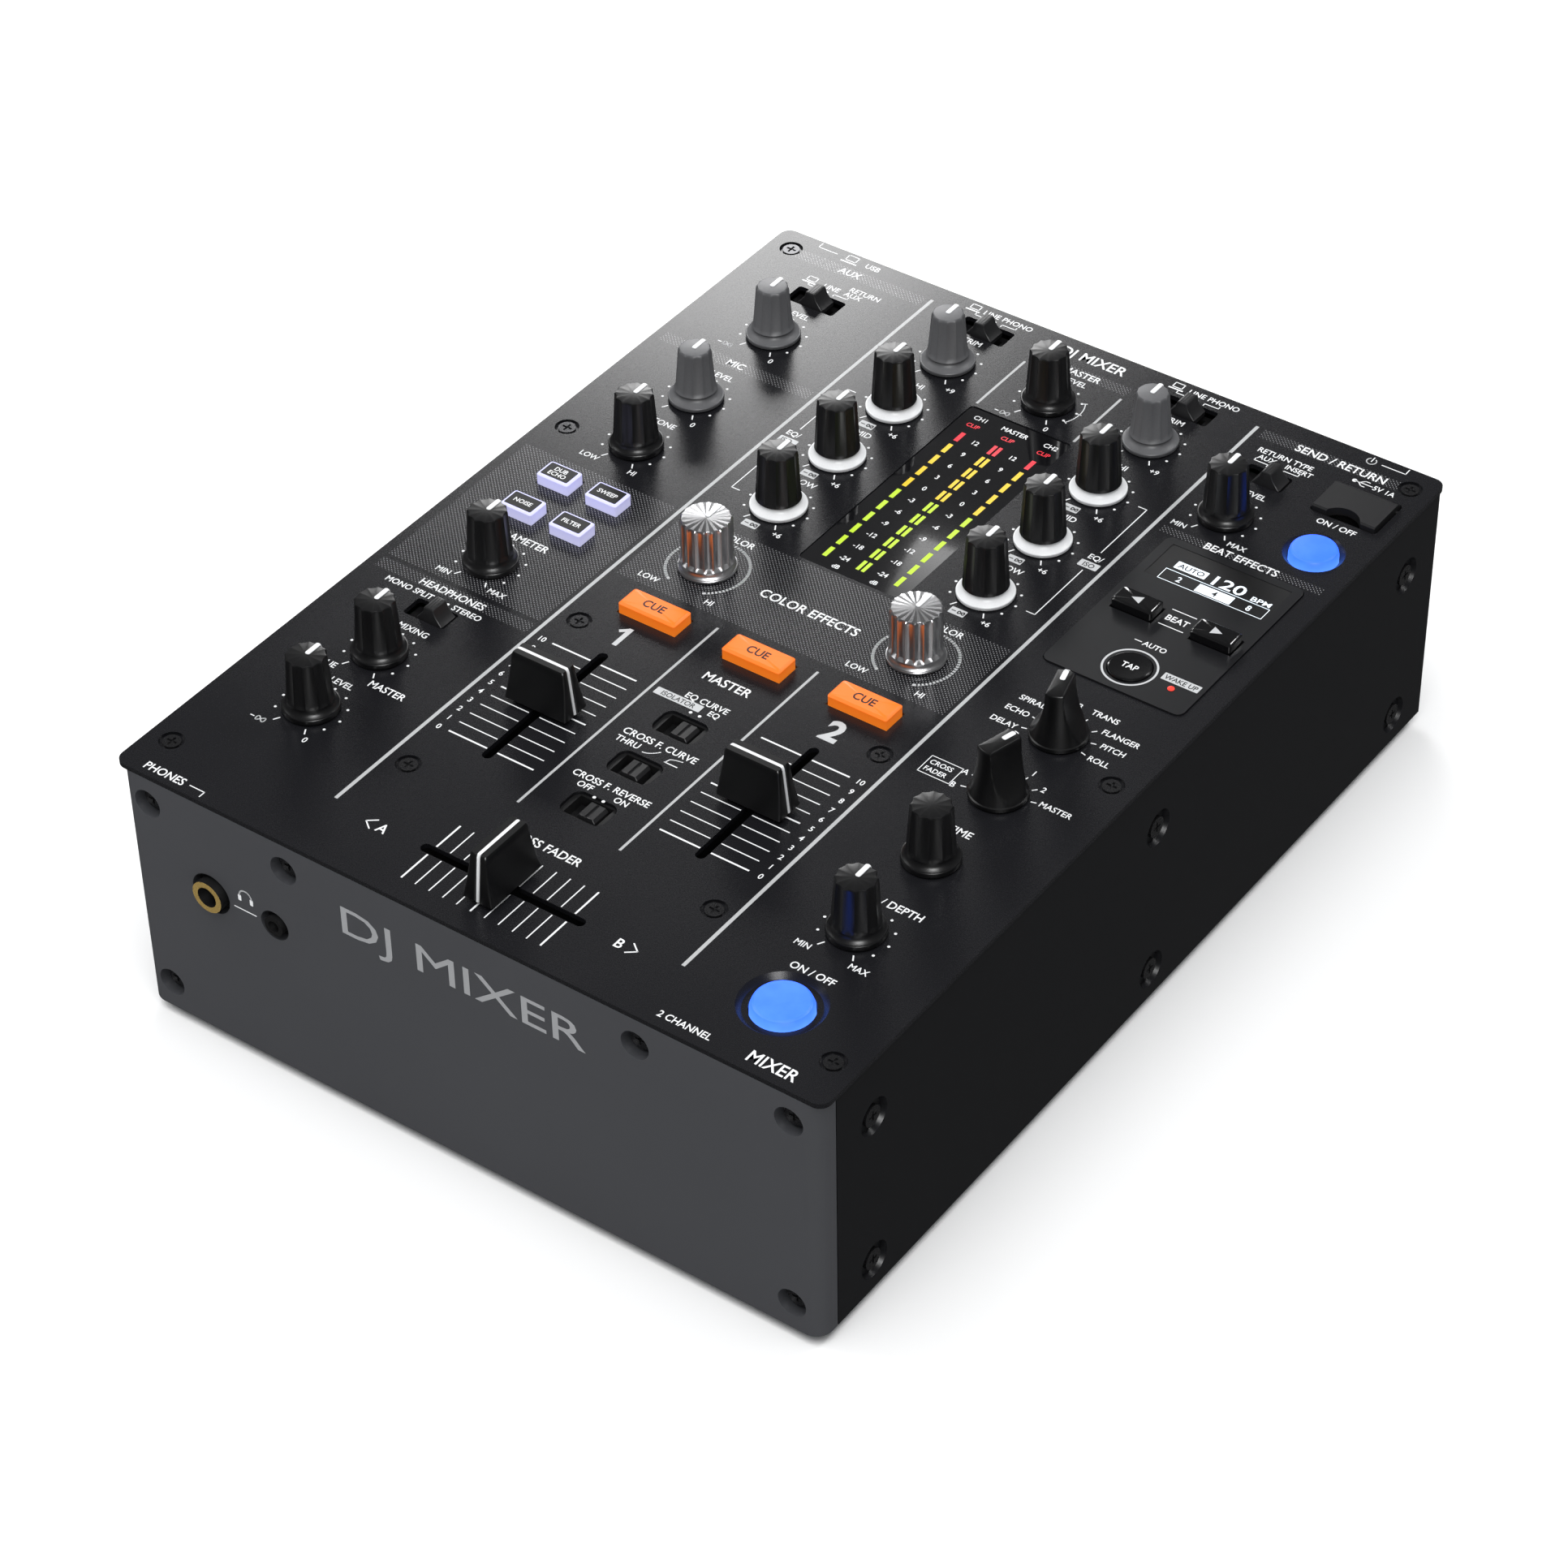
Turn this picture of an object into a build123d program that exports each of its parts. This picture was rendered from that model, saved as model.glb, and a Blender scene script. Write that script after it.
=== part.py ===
from build123d import *
import os

# Two-channel tabletop mixer. Millimetres, +Z up, front of the mixer towards -Y.
# Origin: on the ground, in the middle of the whole mixer's outline.

# ---- case ----
plate_width = 231.0
plate_depth = 307.5
plate_thick = 1.5
plate_corner = 3.5
body_height = 84.5  # underside of the case to the top of the plate
foot_height = 3.5
foot_r = 9.0
foot_bevel = 0.6
foot_inset_x = 30.0
foot_inset_y = 35.0
side_overhang = 1.5
rear_overhang = 0.75
sheet = 1.2
seam = 0.3
front_depth = 7.25
front_wall = 3.0
front_corner = 5.0
jack_proud = 1.9  # large phones jack beyond the front face
rca_proud = 10.8  # phono jacks beyond the plate's rear edge

# ---- inside ----
board_drop = 12.0  # plate underside to the control board
usb_hole_gap = 0.5
board_thick = 1.6
main_board_gap = 8.0
main_board_front = 60.0  # from the plate's front edge
main_board_rear = 34.0  # from the rear wall
main_board_side = 16.0  # from the side wall
post_in = (34.0, 8.0)  # standoffs from the plate's side edge and the board's end
supply_box = (42.0, 46.0, 30.0)
supply_in = 50.0  # middle, from the plate's right edge
capacitor = (8.0, 24.0)  # radius, height
capacitor_in = 84.0
chip = (14.0, 14.0, 1.4)
chip_in = 60.0  # first one's middle, from the plate's left edge
chip_forward = 20.0
part_pitch = 24.0
standoff_r = 3.0
pillar_r = 2.5

# ---- clearances ----
running = 0.05  # shaft in its bush, pin in its hole
press = 0.02  # cap on its shaft
cap_gap = 0.3  # button or lever in its opening
rest_gap = 0.2

# ---- turning knobs: skirt radius, foot radius, top radius, height, flutes ----
knob_lift = 0.5
skirt_height = 1.9
knob_kinds = {
    "grey": (8.25, 5.5, 4.4, 17.9, 12),
    "black": (8.05, 6.55, 5.7, 18.6, 12),
    "eq": (6.4, 6.3, 5.6, 19.9, 12),
    "silver": (8.5, 8.1, 7.5, 17.5, 18),
}
eq_ring_r = 8.4
eq_ring_height = 2.2
flute_radii = 15.0  # radii of all of a knob's flutes together
flute_out = 0.69  # middle of a flute beyond the foot radius
flute_start = 1.2
knob_foot = 0.6
knob_edge = 0.5
shaft_r = 3.0
bush_r = 3.45
bush_clear = 0.3
shaft_in_cap = 9.0
shaft_in_pot = 8.5
pot_side = 10.0

# ---- selector knobs ----
selector_skirt_r = 8.2
selector_skirt_height = 4.0
selector_height = 18.3
fin_width = 5.3
fin_length = 12.0
selector_shoulder = 6.5
selector_crown = (1.0, 2.0)
fin_corner = 1.6

# ---- faders ----
fader_travel = 45.0
slot_width = 3.1
slot_spare = 8.4  # slot length beyond the travel
cap_base = (20.6, 9.6)
cap_top = (17.5, 5.4)
cap_height = 16.0
cap_lift = 1.2
cap_corner = 1.0
stem = (1.2, 5.0)
stem_in_cap = 7.0
channel_width = 12.0
channel_wall = 1.0
channel_spare = 2.0
carriage_length = 8.0
carriage_height = 5.0

# ---- buttons ----
button_travel = 0.8
button_flange = 0.9
flange_height = 1.0
pad_size = (11.2, 7.6)
cue_size = (19.4, 8.2)
beat_size = (13.0, 7.1)
button_rise = 3.4
button_bevel = 0.4
round_edge = 0.5
tap_r = 6.2
tap_rise = 1.0
lamp_big = (8.5, 11.9, 1.2)  # cap radius, dish radius, rise above the plate
lamp_small = (7.3, 8.9, 1.8)
dish_depth = 1.5
dish_wall = 1.2
switch_side = 6.0
light_margin = 2.0

# ---- slide switches ----
lever_slot = {"wide": (17.2, 8.0), "narrow": (14.2, 7.6)}
lever_size = (9.0, 6.5)
lever_height = 4.5
lever_ridge = 2.4
lever_foot = (3.6, 3.4, 3.2)
lever_skirt = 0.6
lever_corner = 1.0
switch_body_gap = 1.5
mini_slot = (14.4, 9.8)
mini_bezel_wall = (1.6, 0.8)
mini_knob = (6.0, 6.2)
mini_recess = 0.2
mini_bezel_recess = 0.8
mini_groove = (1.4, 0.6)
mini_corner = (3.0, 2.6)  # opening, bezel
mini_body_drop = 2.5

# ---- windows and inserts ----
meter_size = (34.6, 87.0)
meter_recess = 0.3
meter_corner = (1.5, 1.2)  # opening, pane
insert_size = (44.6, 66.0)
insert_rise = 0.4
insert_corner = 2.5
flange_out = 2.0
insert_flange = 1.2
display_size = (38.6, 15.3)
display_depth = 1.0
display_in = 2.7  # from the insert's rear edge
display_film = 0.1

# ---- USB flap ----
flap_recess = (21.6, 16.2)
flap_corner = 1.5
flap_bevel = 0.5
flap_side_gap = 0.7
flap_front_gap = 0.7
flap_rise = 1.6
flap_under = 1.0
flap_notch_r = 6.0
flap_notch_depth = 3.5
hinge_pin_r = 0.5
hinge_pin_in = 1.0
hinge_gap = 0.5
tray_floor_gap = 0.5
usb_a = (12.5, 5.1)
usb_a_wall = 0.4
usb_a_depth = 13.0
usb_tongue = (11.1, 1.8)
usb_tongue_back = 1.2
usb_a_floor = 0.8
usb_a_forward = 1.0

# ---- front sockets ----
big_jack_bore = 3.2
big_jack_nozzle = 5.0
big_jack_hole = 6.5
big_jack_depth = 30.0
big_jack_box = 16.0
small_jack_bore = 1.8
small_jack_nozzle = 3.1
small_jack_hole = 4.75
small_jack_depth = 15.0
small_jack_box = 10.5
small_jack_proud = 0.6
front_cutout_gap = 1.0
jack_floor = 1.0

# ---- screws ----
top_head = (2.6, 0.7)  # radius, height
top_recess = (3.6, 0.9)  # radius, depth
top_shank = (1.25, 6.0)
side_head = (3.2, 1.1)
side_recess = (5.7, 1.5)
side_shank = (1.5, 5.0)
dimple_floor = 0.9  # flat of the dimple inside its radius
dimple_slope = 30.0
front_head = (3.0, 1.6)
front_recess = (4.4, 4.0)
front_shank = (1.5, 7.0)
front_boss = 1.5
cross_slot = (0.7, 0.5)  # width of the driver's cross, depth
cross_span = 3.2

# ---- rear sockets ----
rca_r = 4.15
rca_bore = 1.7
rca_neck = 3.6  # where the shell passes through the wall
rca_seat = 0.1  # shell clear of the wall
rca_box = (12.0, 12.6)  # side, depth behind the wall
rca_pitch = 16.0
trs_nozzle = 5.6
trs_proud = 3.0
trs_box = (14.0, 26.0)
xlr_flange = (26.0, 30.0, 2.0)
xlr_r = 11.4
xlr_cavity = (9.4, 16.0)
xlr_depth = 20.0
xlr_pin = (1.2, 8.0, 3.75)  # radius, length, circle
combo_pin_bore = 1.4
combo_circle = 7.1
combo_depth = 20.0
inlet_flange = (31.0, 24.0, 2.0)
inlet_box = (27.0, 20.0, 22.0)
inlet_cavity = (24.2, 16.4, 17.0)
inlet_pin = (2.0, 4.0, 10.0, 7.0)
inlet_pin_rise = 2.0
usb_b_box = (12.0, 11.0, 16.0)
usb_b_cavity = (8.45, 7.78, 12.5)
usb_b_tongue = (5.6, 3.2, 8.0)
usb_b_proud = 0.3
rocker_bezel = (15.0, 21.0, 2.0)
rocker_box = (13.0, 19.0, 15.0)
rocker_cavity = (11.0, 17.8, 11.0)
rocker_width = 10.4
rocker_reach = (4.5, 8.0)  # out of the wall and half height at the rocker's end
rocker_valley = 3.0
rocker_root = (3.0, 4.0)
rocker_pin_r = 1.0
rocker_pivot_in = 2.0
rocker_angle = 8.0  # either side of the middle
ground_post = (3.6, 2.0, 8.0)  # nut radius, stud radius, stud length
post_nut = (2.0, 1.0, 5.0)  # inner nut's height, outer nut's lift and height

# ---- levels and edges, from the sizes above ----
plate_y = (jack_proud - rca_proud) / 2
left = -plate_width / 2
right = plate_width / 2
front = plate_y - plate_depth / 2
rear = plate_y + plate_depth / 2
case_bottom = foot_height
plate_top = case_bottom + body_height
under = plate_top - plate_thick
board_top = under - board_drop
board_low = board_top - board_thick
floor_top = case_bottom + sheet
side_out = right - side_overhang
side_in = side_out - sheet
tab_out = side_out - side_recess[1] - sheet
tab_in = tab_out - sheet
tab_width = 12.0
rear_face = rear - rear_overhang
rear_in = rear_face - sheet
front_back = front + front_depth
flange_in = front_back + sheet

# ---- places: columns and rows from the plate's nearest edge or middle line ----
column_left = left + 30.0
column_right = right - 29.8
column_1 = -34.7
column_2 = 35.75
column_mid = 0.65

knob_places = {
    "aux_level_knob": ("grey", column_left + 0.2, rear - 49.15),
    "mic_level_knob": ("grey", column_left + 0.1, rear - 87.65),
    "trim_knob_1": ("grey", column_1, rear - 31.35),
    "trim_knob_2": ("grey", column_2, rear - 31.35),
    "mic_tone_knob": ("black", column_left, rear - 116.55),
    "effect_parameter_knob": ("black", column_left - 0.2, rear - 183.85),
    "headphone_mix_knob": ("black", column_left - 0.3, front + 75.05),
    "headphone_level_knob": ("black", column_left - 0.3, front + 46.25),
    "master_level_knob": ("black", column_mid, rear - 31.45),
    "send_level_knob": ("black", right - 43.6, rear - 49.25),
    "effect_time_knob": ("black", column_right, front + 90.35),
    "effect_depth_knob": ("black", column_right, front + 56.75),
    "eq_hi_knob_1": ("eq", column_1, rear - 59.25),
    "eq_mid_knob_1": ("eq", column_1, rear - 88.0),
    "eq_low_knob_1": ("eq", column_1, rear - 116.85),
    "eq_hi_knob_2": ("eq", column_2, rear - 59.25),
    "eq_mid_knob_2": ("eq", column_2, rear - 88.0),
    "eq_low_knob_2": ("eq", column_2, rear - 116.85),
    "color_knob_1": ("silver", column_1, rear - 150.85),
    "color_knob_2": ("silver", column_2, rear - 150.85),
}
# name: x, y, angle of the pointer clockwise from the rear
selector_places = {
    "effect_selector": (column_right, rear - 156.8, -15.0),
    "channel_selector": (column_right, rear - 185.85, 15.0),
}
# name: middle of the travel, and the direction that the cap's width runs in
fader_places = {
    "channel_fader_1": (column_1, front + 83.2, (1, 0, 0)),
    "channel_fader_2": (column_2, front + 83.2, (1, 0, 0)),
    "crossfader": (column_mid, front + 19.6, (0, -1, 0)),
}
pad_rows = (rear - 143.05, rear - 159.75)
pad_columns = (left + 22.6, left + 39.9)
insert_at = (right - 29.5, rear - 99.05)
# name: size, x, y, level of the surface that the flange stops under
square_buttons = {
    "effect_pad_1": (pad_size, pad_columns[0], pad_rows[0], under),
    "effect_pad_2": (pad_size, pad_columns[1], pad_rows[0], under),
    "effect_pad_3": (pad_size, pad_columns[0], pad_rows[1], under),
    "effect_pad_4": (pad_size, pad_columns[1], pad_rows[1], under),
    "cue_button_1": (cue_size, column_1 + 1.1, rear - 176.85, under),
    "cue_button_master": (cue_size, column_mid + 1.0, rear - 176.85, under),
    "cue_button_2": (cue_size, column_2 + 1.1, rear - 176.85, under),
    "beat_button_left": (beat_size, insert_at[0] - 12.3, insert_at[1] + 0.3, under - insert_flange),
    "beat_button_right": (beat_size, insert_at[0] + 13.0, insert_at[1] + 0.3, under - insert_flange),
}
tap_at = (insert_at[0], insert_at[1] - 22.9)
lamp_buttons = {
    "effect_on_button": (lamp_big, right - 29.75, front + 24.45),
    "send_on_button": (lamp_small, right - 14.7, rear - 49.45),
}
# name: slot, middle of the slot, lever's place in it, half travel
lever_places = {
    "aux_source_switch": ("wide", left + 30.2, rear - 27.35, 0.0, 3.2),
    "input_switch_1": ("wide", column_1, rear - 11.95, 0.0, 3.2),
    "input_switch_2": ("wide", column_2 + 0.25, rear - 11.95, 0.0, 3.2),
    "mono_split_switch": ("narrow", left + 30.3, front + 96.45, 1.8, 1.8),
    "return_type_switch": ("narrow", right - 43.75, rear - 27.25, 1.8, 1.8),
}
mini_places = {
    "eq_curve_switch": (column_mid, front + 96.2, 1.3, 1.3),
    "crossfader_curve_switch": (column_mid, front + 76.1, 0.0, 1.3),
    "crossfader_reverse_switch": (column_mid, front + 55.9, 1.3, 1.3),
}
meter_at = (column_mid - 0.15, rear - 88.75)
flap_at = (right - 15.5, rear - 24.65)
top_screws = [
    (left + 7.7, rear - 8.5),
    (left + 7.7, rear - 120.45),
    (left + 7.6, front + 14.65),
    (-50.35 + column_mid, front + 117.35),
    (-50.35 + column_mid, front + 43.15),
    (50.3 + column_mid, front + 117.35),
    (50.3 + column_mid, front + 43.15),
    (right - 7.4, front + 14.75),
    (right - 7.4, front + 141.65),
    (right - 7.2, rear - 8.5),
]
side_screw_rows = (front + 23.75, plate_y + 3.3, rear - 17.25)
side_screw_levels = (plate_top - 23.0, case_bottom + 10.0)
front_screw_corner = 10.6
front_screw_mid = 57.6
front_screw_levels = (plate_top - 10.5, case_bottom + 9.2)
big_jack_at = (left + 30.3, plate_top - 32.6)
small_jack_at = (left + 52.5, plate_top - 32.6)

# ---- rear layout: x and height above the ground ----
rca_columns = (left + 35.0, left + 53.0, left + 77.0, left + 95.0, left + 121.0)
rca_level = case_bottom + 50.5
trs_columns = (left + 66.0, left + 84.0, left + 108.0, left + 126.0)
low_level = case_bottom + 22.0
combo_x = left + 35.0
xlr_x = right - 72.0
xlr_levels = (case_bottom + 56.5, case_bottom + 24.5)
inlet_at = (right - 40.0, case_bottom + 53.5)
rocker_at = (right - 14.5, case_bottom + 53.5)
usb_b_at = (left + 14.5, case_bottom + 53.5)
post_columns = (left + 16.0, left + 141.5)
post_level = case_bottom + 28.0

# ---- levels and places that a moving piece shares with what carries it ----
hinge_z = plate_top - plate_thick / 2
hinge_r = flap_rise + plate_thick / 2
hinge_y = flap_at[1] + flap_recess[1] / 2 - hinge_r - hinge_gap
tray_floor = hinge_z - hinge_r - tray_floor_gap
tray_low = tray_floor - sheet
usb_socket_at = (flap_at[0], flap_at[1] - usb_a_forward)
rocker_pivot_y = rear_face - rocker_pivot_in
display_y = insert_at[1] + insert_size[1] / 2 - display_size[1] / 2 - display_in
main_board_depth = rear_in - main_board_rear - (front + main_board_front)
main_board_y = front + main_board_front + main_board_depth / 2
main_board_posts = [
    (x, main_board_y + y)
    for x in (left + post_in[0], right - post_in[0])
    for y in (post_in[1] - main_board_depth / 2, main_board_depth / 2 - post_in[1])
]


def save(piece, name):
    piece.part.label = name
    export_step(piece.part, f"parts/{name}.step")


def block(x, y, low, size, mode=Mode.ADD, corner=0.0):
    """A box standing on a level: size is its width, depth and height."""
    with BuildSketch(Plane((x, y, low))) as outline:
        Rectangle(size[0], size[1])
        if corner:
            fillet(vertices(), corner)
    extrude(outline.sketch, amount=size[2], mode=mode)


def ring(x, y, low, outer, inner, height, mode=Mode.ADD):
    """A tube, or a disc where the inner radius is 0, standing on a level."""
    with BuildSketch(Plane((x, y, low))) as outline:
        Circle(outer)
        if inner:
            Circle(inner, mode=Mode.SUBTRACT)
    extrude(outline.sketch, amount=height, mode=mode)


def wall_plane(x, y, z, outward):
    """Plane on a front or rear wall; outward is -1 for the front and 1 for the rear."""
    return Plane((x, y, z), x_dir=(-outward, 0, 0), z_dir=(0, outward, 0))


def wall_block(x, y, z, size, outward, mode=Mode.ADD):
    """A box on a wall plane: size is its width, height and reach along the outward normal."""
    with BuildSketch(wall_plane(x, y, z, outward)) as outline:
        Rectangle(size[0], size[1])
    extrude(outline.sketch, amount=size[2], mode=mode)


def wall_ring(x, y, z, outer, inner, reach, outward, mode=Mode.ADD):
    with BuildSketch(wall_plane(x, y, z, outward)) as outline:
        Circle(outer)
        if inner:
            Circle(inner, mode=Mode.SUBTRACT)
    extrude(outline.sketch, amount=reach, mode=mode)


def turned(x, y, points, mode=Mode.ADD):
    """A body turned about the vertical line through x, y, from (radius, height) points."""
    with BuildSketch(Plane((x, y, 0), x_dir=(1, 0, 0), z_dir=(0, -1, 0))) as profile:
        with BuildLine():
            Polyline(*points, close=True)
        make_face()
    revolve(profile.sketch, axis=Axis((x, y, 0), (0, 0, 1)), mode=mode)


def wedge(y, points, width):
    """A profile of (x, height) points, carried across Y by a width centred on y."""
    with BuildSketch(Plane((0, y, 0), x_dir=(1, 0, 0), z_dir=(0, -1, 0))) as profile:
        with BuildLine():
            Polyline(*points, close=True)
        make_face()
    extrude(profile.sketch, amount=width / 2, both=True)


def driver_cross(plane, places):
    """Cross recess cut down from a plane into the screw heads that lie under it."""
    width, depth = cross_slot
    with BuildSketch(plane) as cross:
        with Locations(*places):
            Rectangle(cross_span, width)
            Rectangle(width, cross_span)
    extrude(cross.sketch, amount=-depth, mode=Mode.SUBTRACT)


def shaft_and_bore(x, y):
    """Cuts the cap's blind bore and puts the pot's shaft in it, down into the pot."""
    seat = plate_top + knob_lift
    low = plate_top - shaft_in_pot
    ring(x, y, seat, shaft_r + press, 0, shaft_in_cap, mode=Mode.SUBTRACT)
    ring(x, y, low, shaft_r, 0, seat + shaft_in_cap - press - low)


def fluted_knob(name, kind, x, y):
    skirt_r, body_r, top_r, height, flutes = knob_kinds[kind]
    low = plate_top + knob_lift
    shoulder = low + skirt_height
    top = plate_top + height
    outline = [(0, low), (skirt_r, low), (skirt_r, shoulder), (body_r, shoulder + knob_foot)]
    outline += [(top_r, top - knob_edge), (top_r - knob_edge, top), (0, top)]
    with BuildPart() as piece:
        turned(x, y, outline)
        with BuildSketch(Plane((x, y, shoulder + flute_start))) as grooves:
            with PolarLocations(body_r + flute_out, flutes):
                Circle(flute_radii / flutes)
        extrude(grooves.sketch, amount=top - shoulder, mode=Mode.SUBTRACT)
        if kind == "eq":
            ring(x, y, low, eq_ring_r, skirt_r + press, eq_ring_height)
        shaft_and_bore(x, y)
    save(piece, name)


def selector_knob(name, x, y, angle):
    """Skirted knob with a narrow fin as its pointer."""
    low = plate_top + knob_lift
    shoulder = low + selector_skirt_height
    outline = [(0, low), (selector_skirt_r, low), (selector_skirt_r, low + skirt_height)]
    crown = shoulder + selector_crown[1]
    outline += [(selector_shoulder, shoulder), (selector_shoulder - selector_crown[0], crown), (0, crown)]
    with BuildPart() as piece:
        turned(x, y, outline)
        with BuildSketch(Plane((x, y, shoulder))) as fin:
            Rectangle(fin_width, fin_length, rotation=-angle)
            fillet(vertices(), fin_corner)
        extrude(fin.sketch, amount=plate_top + selector_height - shoulder)
        shaft_and_bore(x, y)
    save(piece, name)


def fader(name, x, y, across):
    """Cap, blade and carriage; the travel is square to the direction the cap's width runs in."""
    low = plate_top + cap_lift
    carriage_low = board_top + channel_wall + cap_gap
    blade_low = carriage_low + carriage_height
    pocket_top = low + stem_in_cap
    with BuildPart() as piece:
        with BuildSketch(Plane((x, y, low), x_dir=across)) as base:
            Rectangle(*cap_base)
            fillet(vertices(), cap_corner)
        with BuildSketch(Plane((x, y, plate_top + cap_height), x_dir=across)) as crown:
            Rectangle(*cap_top)
            fillet(vertices(), cap_corner)
        loft([base.sketch, crown.sketch])
        with BuildSketch(Plane((x, y, low), x_dir=across)) as pocket:
            Rectangle(stem[0] + 2 * press, stem[1] + 2 * press)
        extrude(pocket.sketch, amount=stem_in_cap, mode=Mode.SUBTRACT)
        with BuildSketch(Plane((x, y, blade_low), x_dir=across)) as blade:
            Rectangle(*stem)
        extrude(blade.sketch, amount=pocket_top - press - blade_low)
        with BuildSketch(Plane((x, y, carriage_low), x_dir=across)) as carriage:
            Rectangle(channel_width - 2 * channel_wall - 2 * cap_gap, carriage_length)
        extrude(carriage.sketch, amount=carriage_height)
    save(piece, name)


def square_button(name, size, x, y, stop):
    """Cap through its opening, held up under the panel by a flange."""
    flange_top = stop - rest_gap
    flange_low = flange_top - flange_height
    wide = size[0] + 2 * (cap_gap + button_flange)
    deep = size[1] + 2 * (cap_gap + button_flange)
    with BuildPart() as piece:
        block(x, y, flange_low, (size[0], size[1], plate_top + button_rise - flange_low))
        chamfer(piece.faces().sort_by(Axis.Z)[-1].edges(), button_bevel)
        block(x, y, flange_low, (wide, deep, flange_height))
    save(piece, name)


def round_button(name, x, y, radius, top, stop):
    flange_top = stop - rest_gap
    flange_low = flange_top - flange_height
    with BuildPart() as piece:
        ring(x, y, flange_low, radius, 0, top - flange_low)
        fillet(piece.faces().sort_by(Axis.Z)[-1].edges(), round_edge)
        ring(x, y, flange_low, radius + cap_gap + button_flange, 0, flange_height)
    save(piece, name)


def lever_switch(name, x, y):
    """Ridged wedge lever with a foot that runs in the switch body's groove."""
    half = lever_size[0] / 2
    ridge = lever_ridge / 2
    low = under - switch_body_gap + rest_gap
    peak = plate_top + lever_height
    outline = [(x - half, low), (x + half, low), (x + half, plate_top + lever_skirt), (x + ridge, peak)]
    outline += [(x - ridge, peak), (x - half, plate_top + lever_skirt)]
    with BuildPart() as piece:
        wedge(y, outline, lever_size[1])
        block(x, y, low - lever_foot[2], lever_foot)
    save(piece, name)


def mini_switch(name, x, y):
    """Low slide in a sunk bezel, with one groove across its top."""
    low = under - mini_body_drop + rest_gap
    top = plate_top - mini_recess
    with BuildPart() as piece:
        block(x, y, low, (mini_knob[0], mini_knob[1], top - low))
        groove = (mini_groove[0], mini_knob[1], mini_groove[1])
        block(x, y, top - mini_groove[1], groove, mode=Mode.SUBTRACT)
        block(x, y, low - lever_foot[2], lever_foot)
    save(piece, name)


def usb_flap(name):
    """Flap over the USB socket: a slab whose rear edge is rounded about its hinge."""
    x, y = flap_at
    width = flap_recess[0] - 2 * flap_side_gap
    front_edge = y - flap_recess[1] / 2 + flap_front_gap
    thick = flap_rise + flap_under
    with BuildPart() as piece:
        slab_depth = hinge_y - front_edge
        block(x, front_edge + slab_depth / 2, plate_top - flap_under, (width, slab_depth, thick))
        chamfer(piece.faces().sort_by(Axis.Z)[-1].edges().filter_by(Axis.X).sort_by(Axis.Y)[0], flap_bevel)
        with BuildSketch(hinge_plane(x - width / 2)) as knuckle:
            Circle(hinge_r)
        extrude(knuckle.sketch, amount=width)
        notch_y = front_edge - flap_notch_r + flap_notch_depth
        with BuildSketch(Plane((x, notch_y, plate_top - flap_under))) as notch:
            Circle(flap_notch_r)
        extrude(notch.sketch, amount=thick, mode=Mode.SUBTRACT)
        with BuildSketch(hinge_plane(x - width / 2 - flap_side_gap - hinge_pin_in)) as pin:
            Circle(hinge_pin_r)
        extrude(pin.sketch, amount=width + 2 * (flap_side_gap + hinge_pin_in))
    save(piece, name)


def hinge_plane(x):
    return Plane((x, hinge_y, hinge_z), x_dir=(0, 1, 0), z_dir=(1, 0, 0))


def power_rocker(name):
    """Two-faced rocker on stub pins, resting with its upper end pushed in."""
    x, z = rocker_at
    out, half = rocker_reach
    deep, waist = rocker_root
    pivot = Plane((x, rocker_pivot_y, z), x_dir=(0, 1, 0), z_dir=(1, 0, 0))
    with BuildPart() as piece:
        with BuildSketch(pivot) as profile:
            with BuildLine():
                corners = [(out, half), (rocker_valley, 0), (out, -half), (-deep, -waist), (-deep, waist)]
                Polyline(*corners, close=True)
            make_face()
        turned_profile = profile.sketch.rotate(Axis(pivot.origin, (1, 0, 0)), rocker_angle)
        extrude(turned_profile, amount=rocker_width / 2, both=True)
        with BuildSketch(pivot) as pin:
            Circle(rocker_pin_r)
        extrude(pin.sketch, amount=rocker_box[0] / 2 - rest_gap, both=True)
    save(piece, name)


# ---------------------------------------------------------------- fixed pieces
def plate_openings():
    """Everything cut through the top plate, apart from its screws and dishes."""
    knobs = [(x, y) for kind, x, y in knob_places.values()]
    knobs += [(x, y) for x, y, angle in selector_places.values()]
    with BuildSketch(Plane((0, 0, under))) as holes:
        with Locations(*knobs):
            Circle(bush_r + bush_clear)
        for x, y, across in fader_places.values():
            along = abs(across[0]) * 90
            with Locations((x, y)):
                SlotOverall(fader_travel + slot_spare, slot_width, rotation=along)
        for size, x, y, stop in square_buttons.values():
            if stop == under:
                with Locations((x, y)):
                    Rectangle(size[0] + 2 * cap_gap, size[1] + 2 * cap_gap)
        for slot, x, y, at, half in lever_places.values():
            with Locations((x, y)):
                RectangleRounded(*lever_slot[slot], lever_corner)
        for x, y, at, half in mini_places.values():
            with Locations((x, y)):
                RectangleRounded(*mini_slot, mini_corner[0])
        with Locations(meter_at):
            RectangleRounded(meter_size[0] + 2 * rest_gap, meter_size[1] + 2 * rest_gap, meter_corner[0])
        with Locations(insert_at):
            RectangleRounded(insert_size[0] + 2 * rest_gap, insert_size[1] + 2 * rest_gap, insert_corner)
        with Locations(flap_at):
            RectangleRounded(*flap_recess, flap_corner)
    extrude(holes.sketch, amount=plate_thick, mode=Mode.SUBTRACT)


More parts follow.
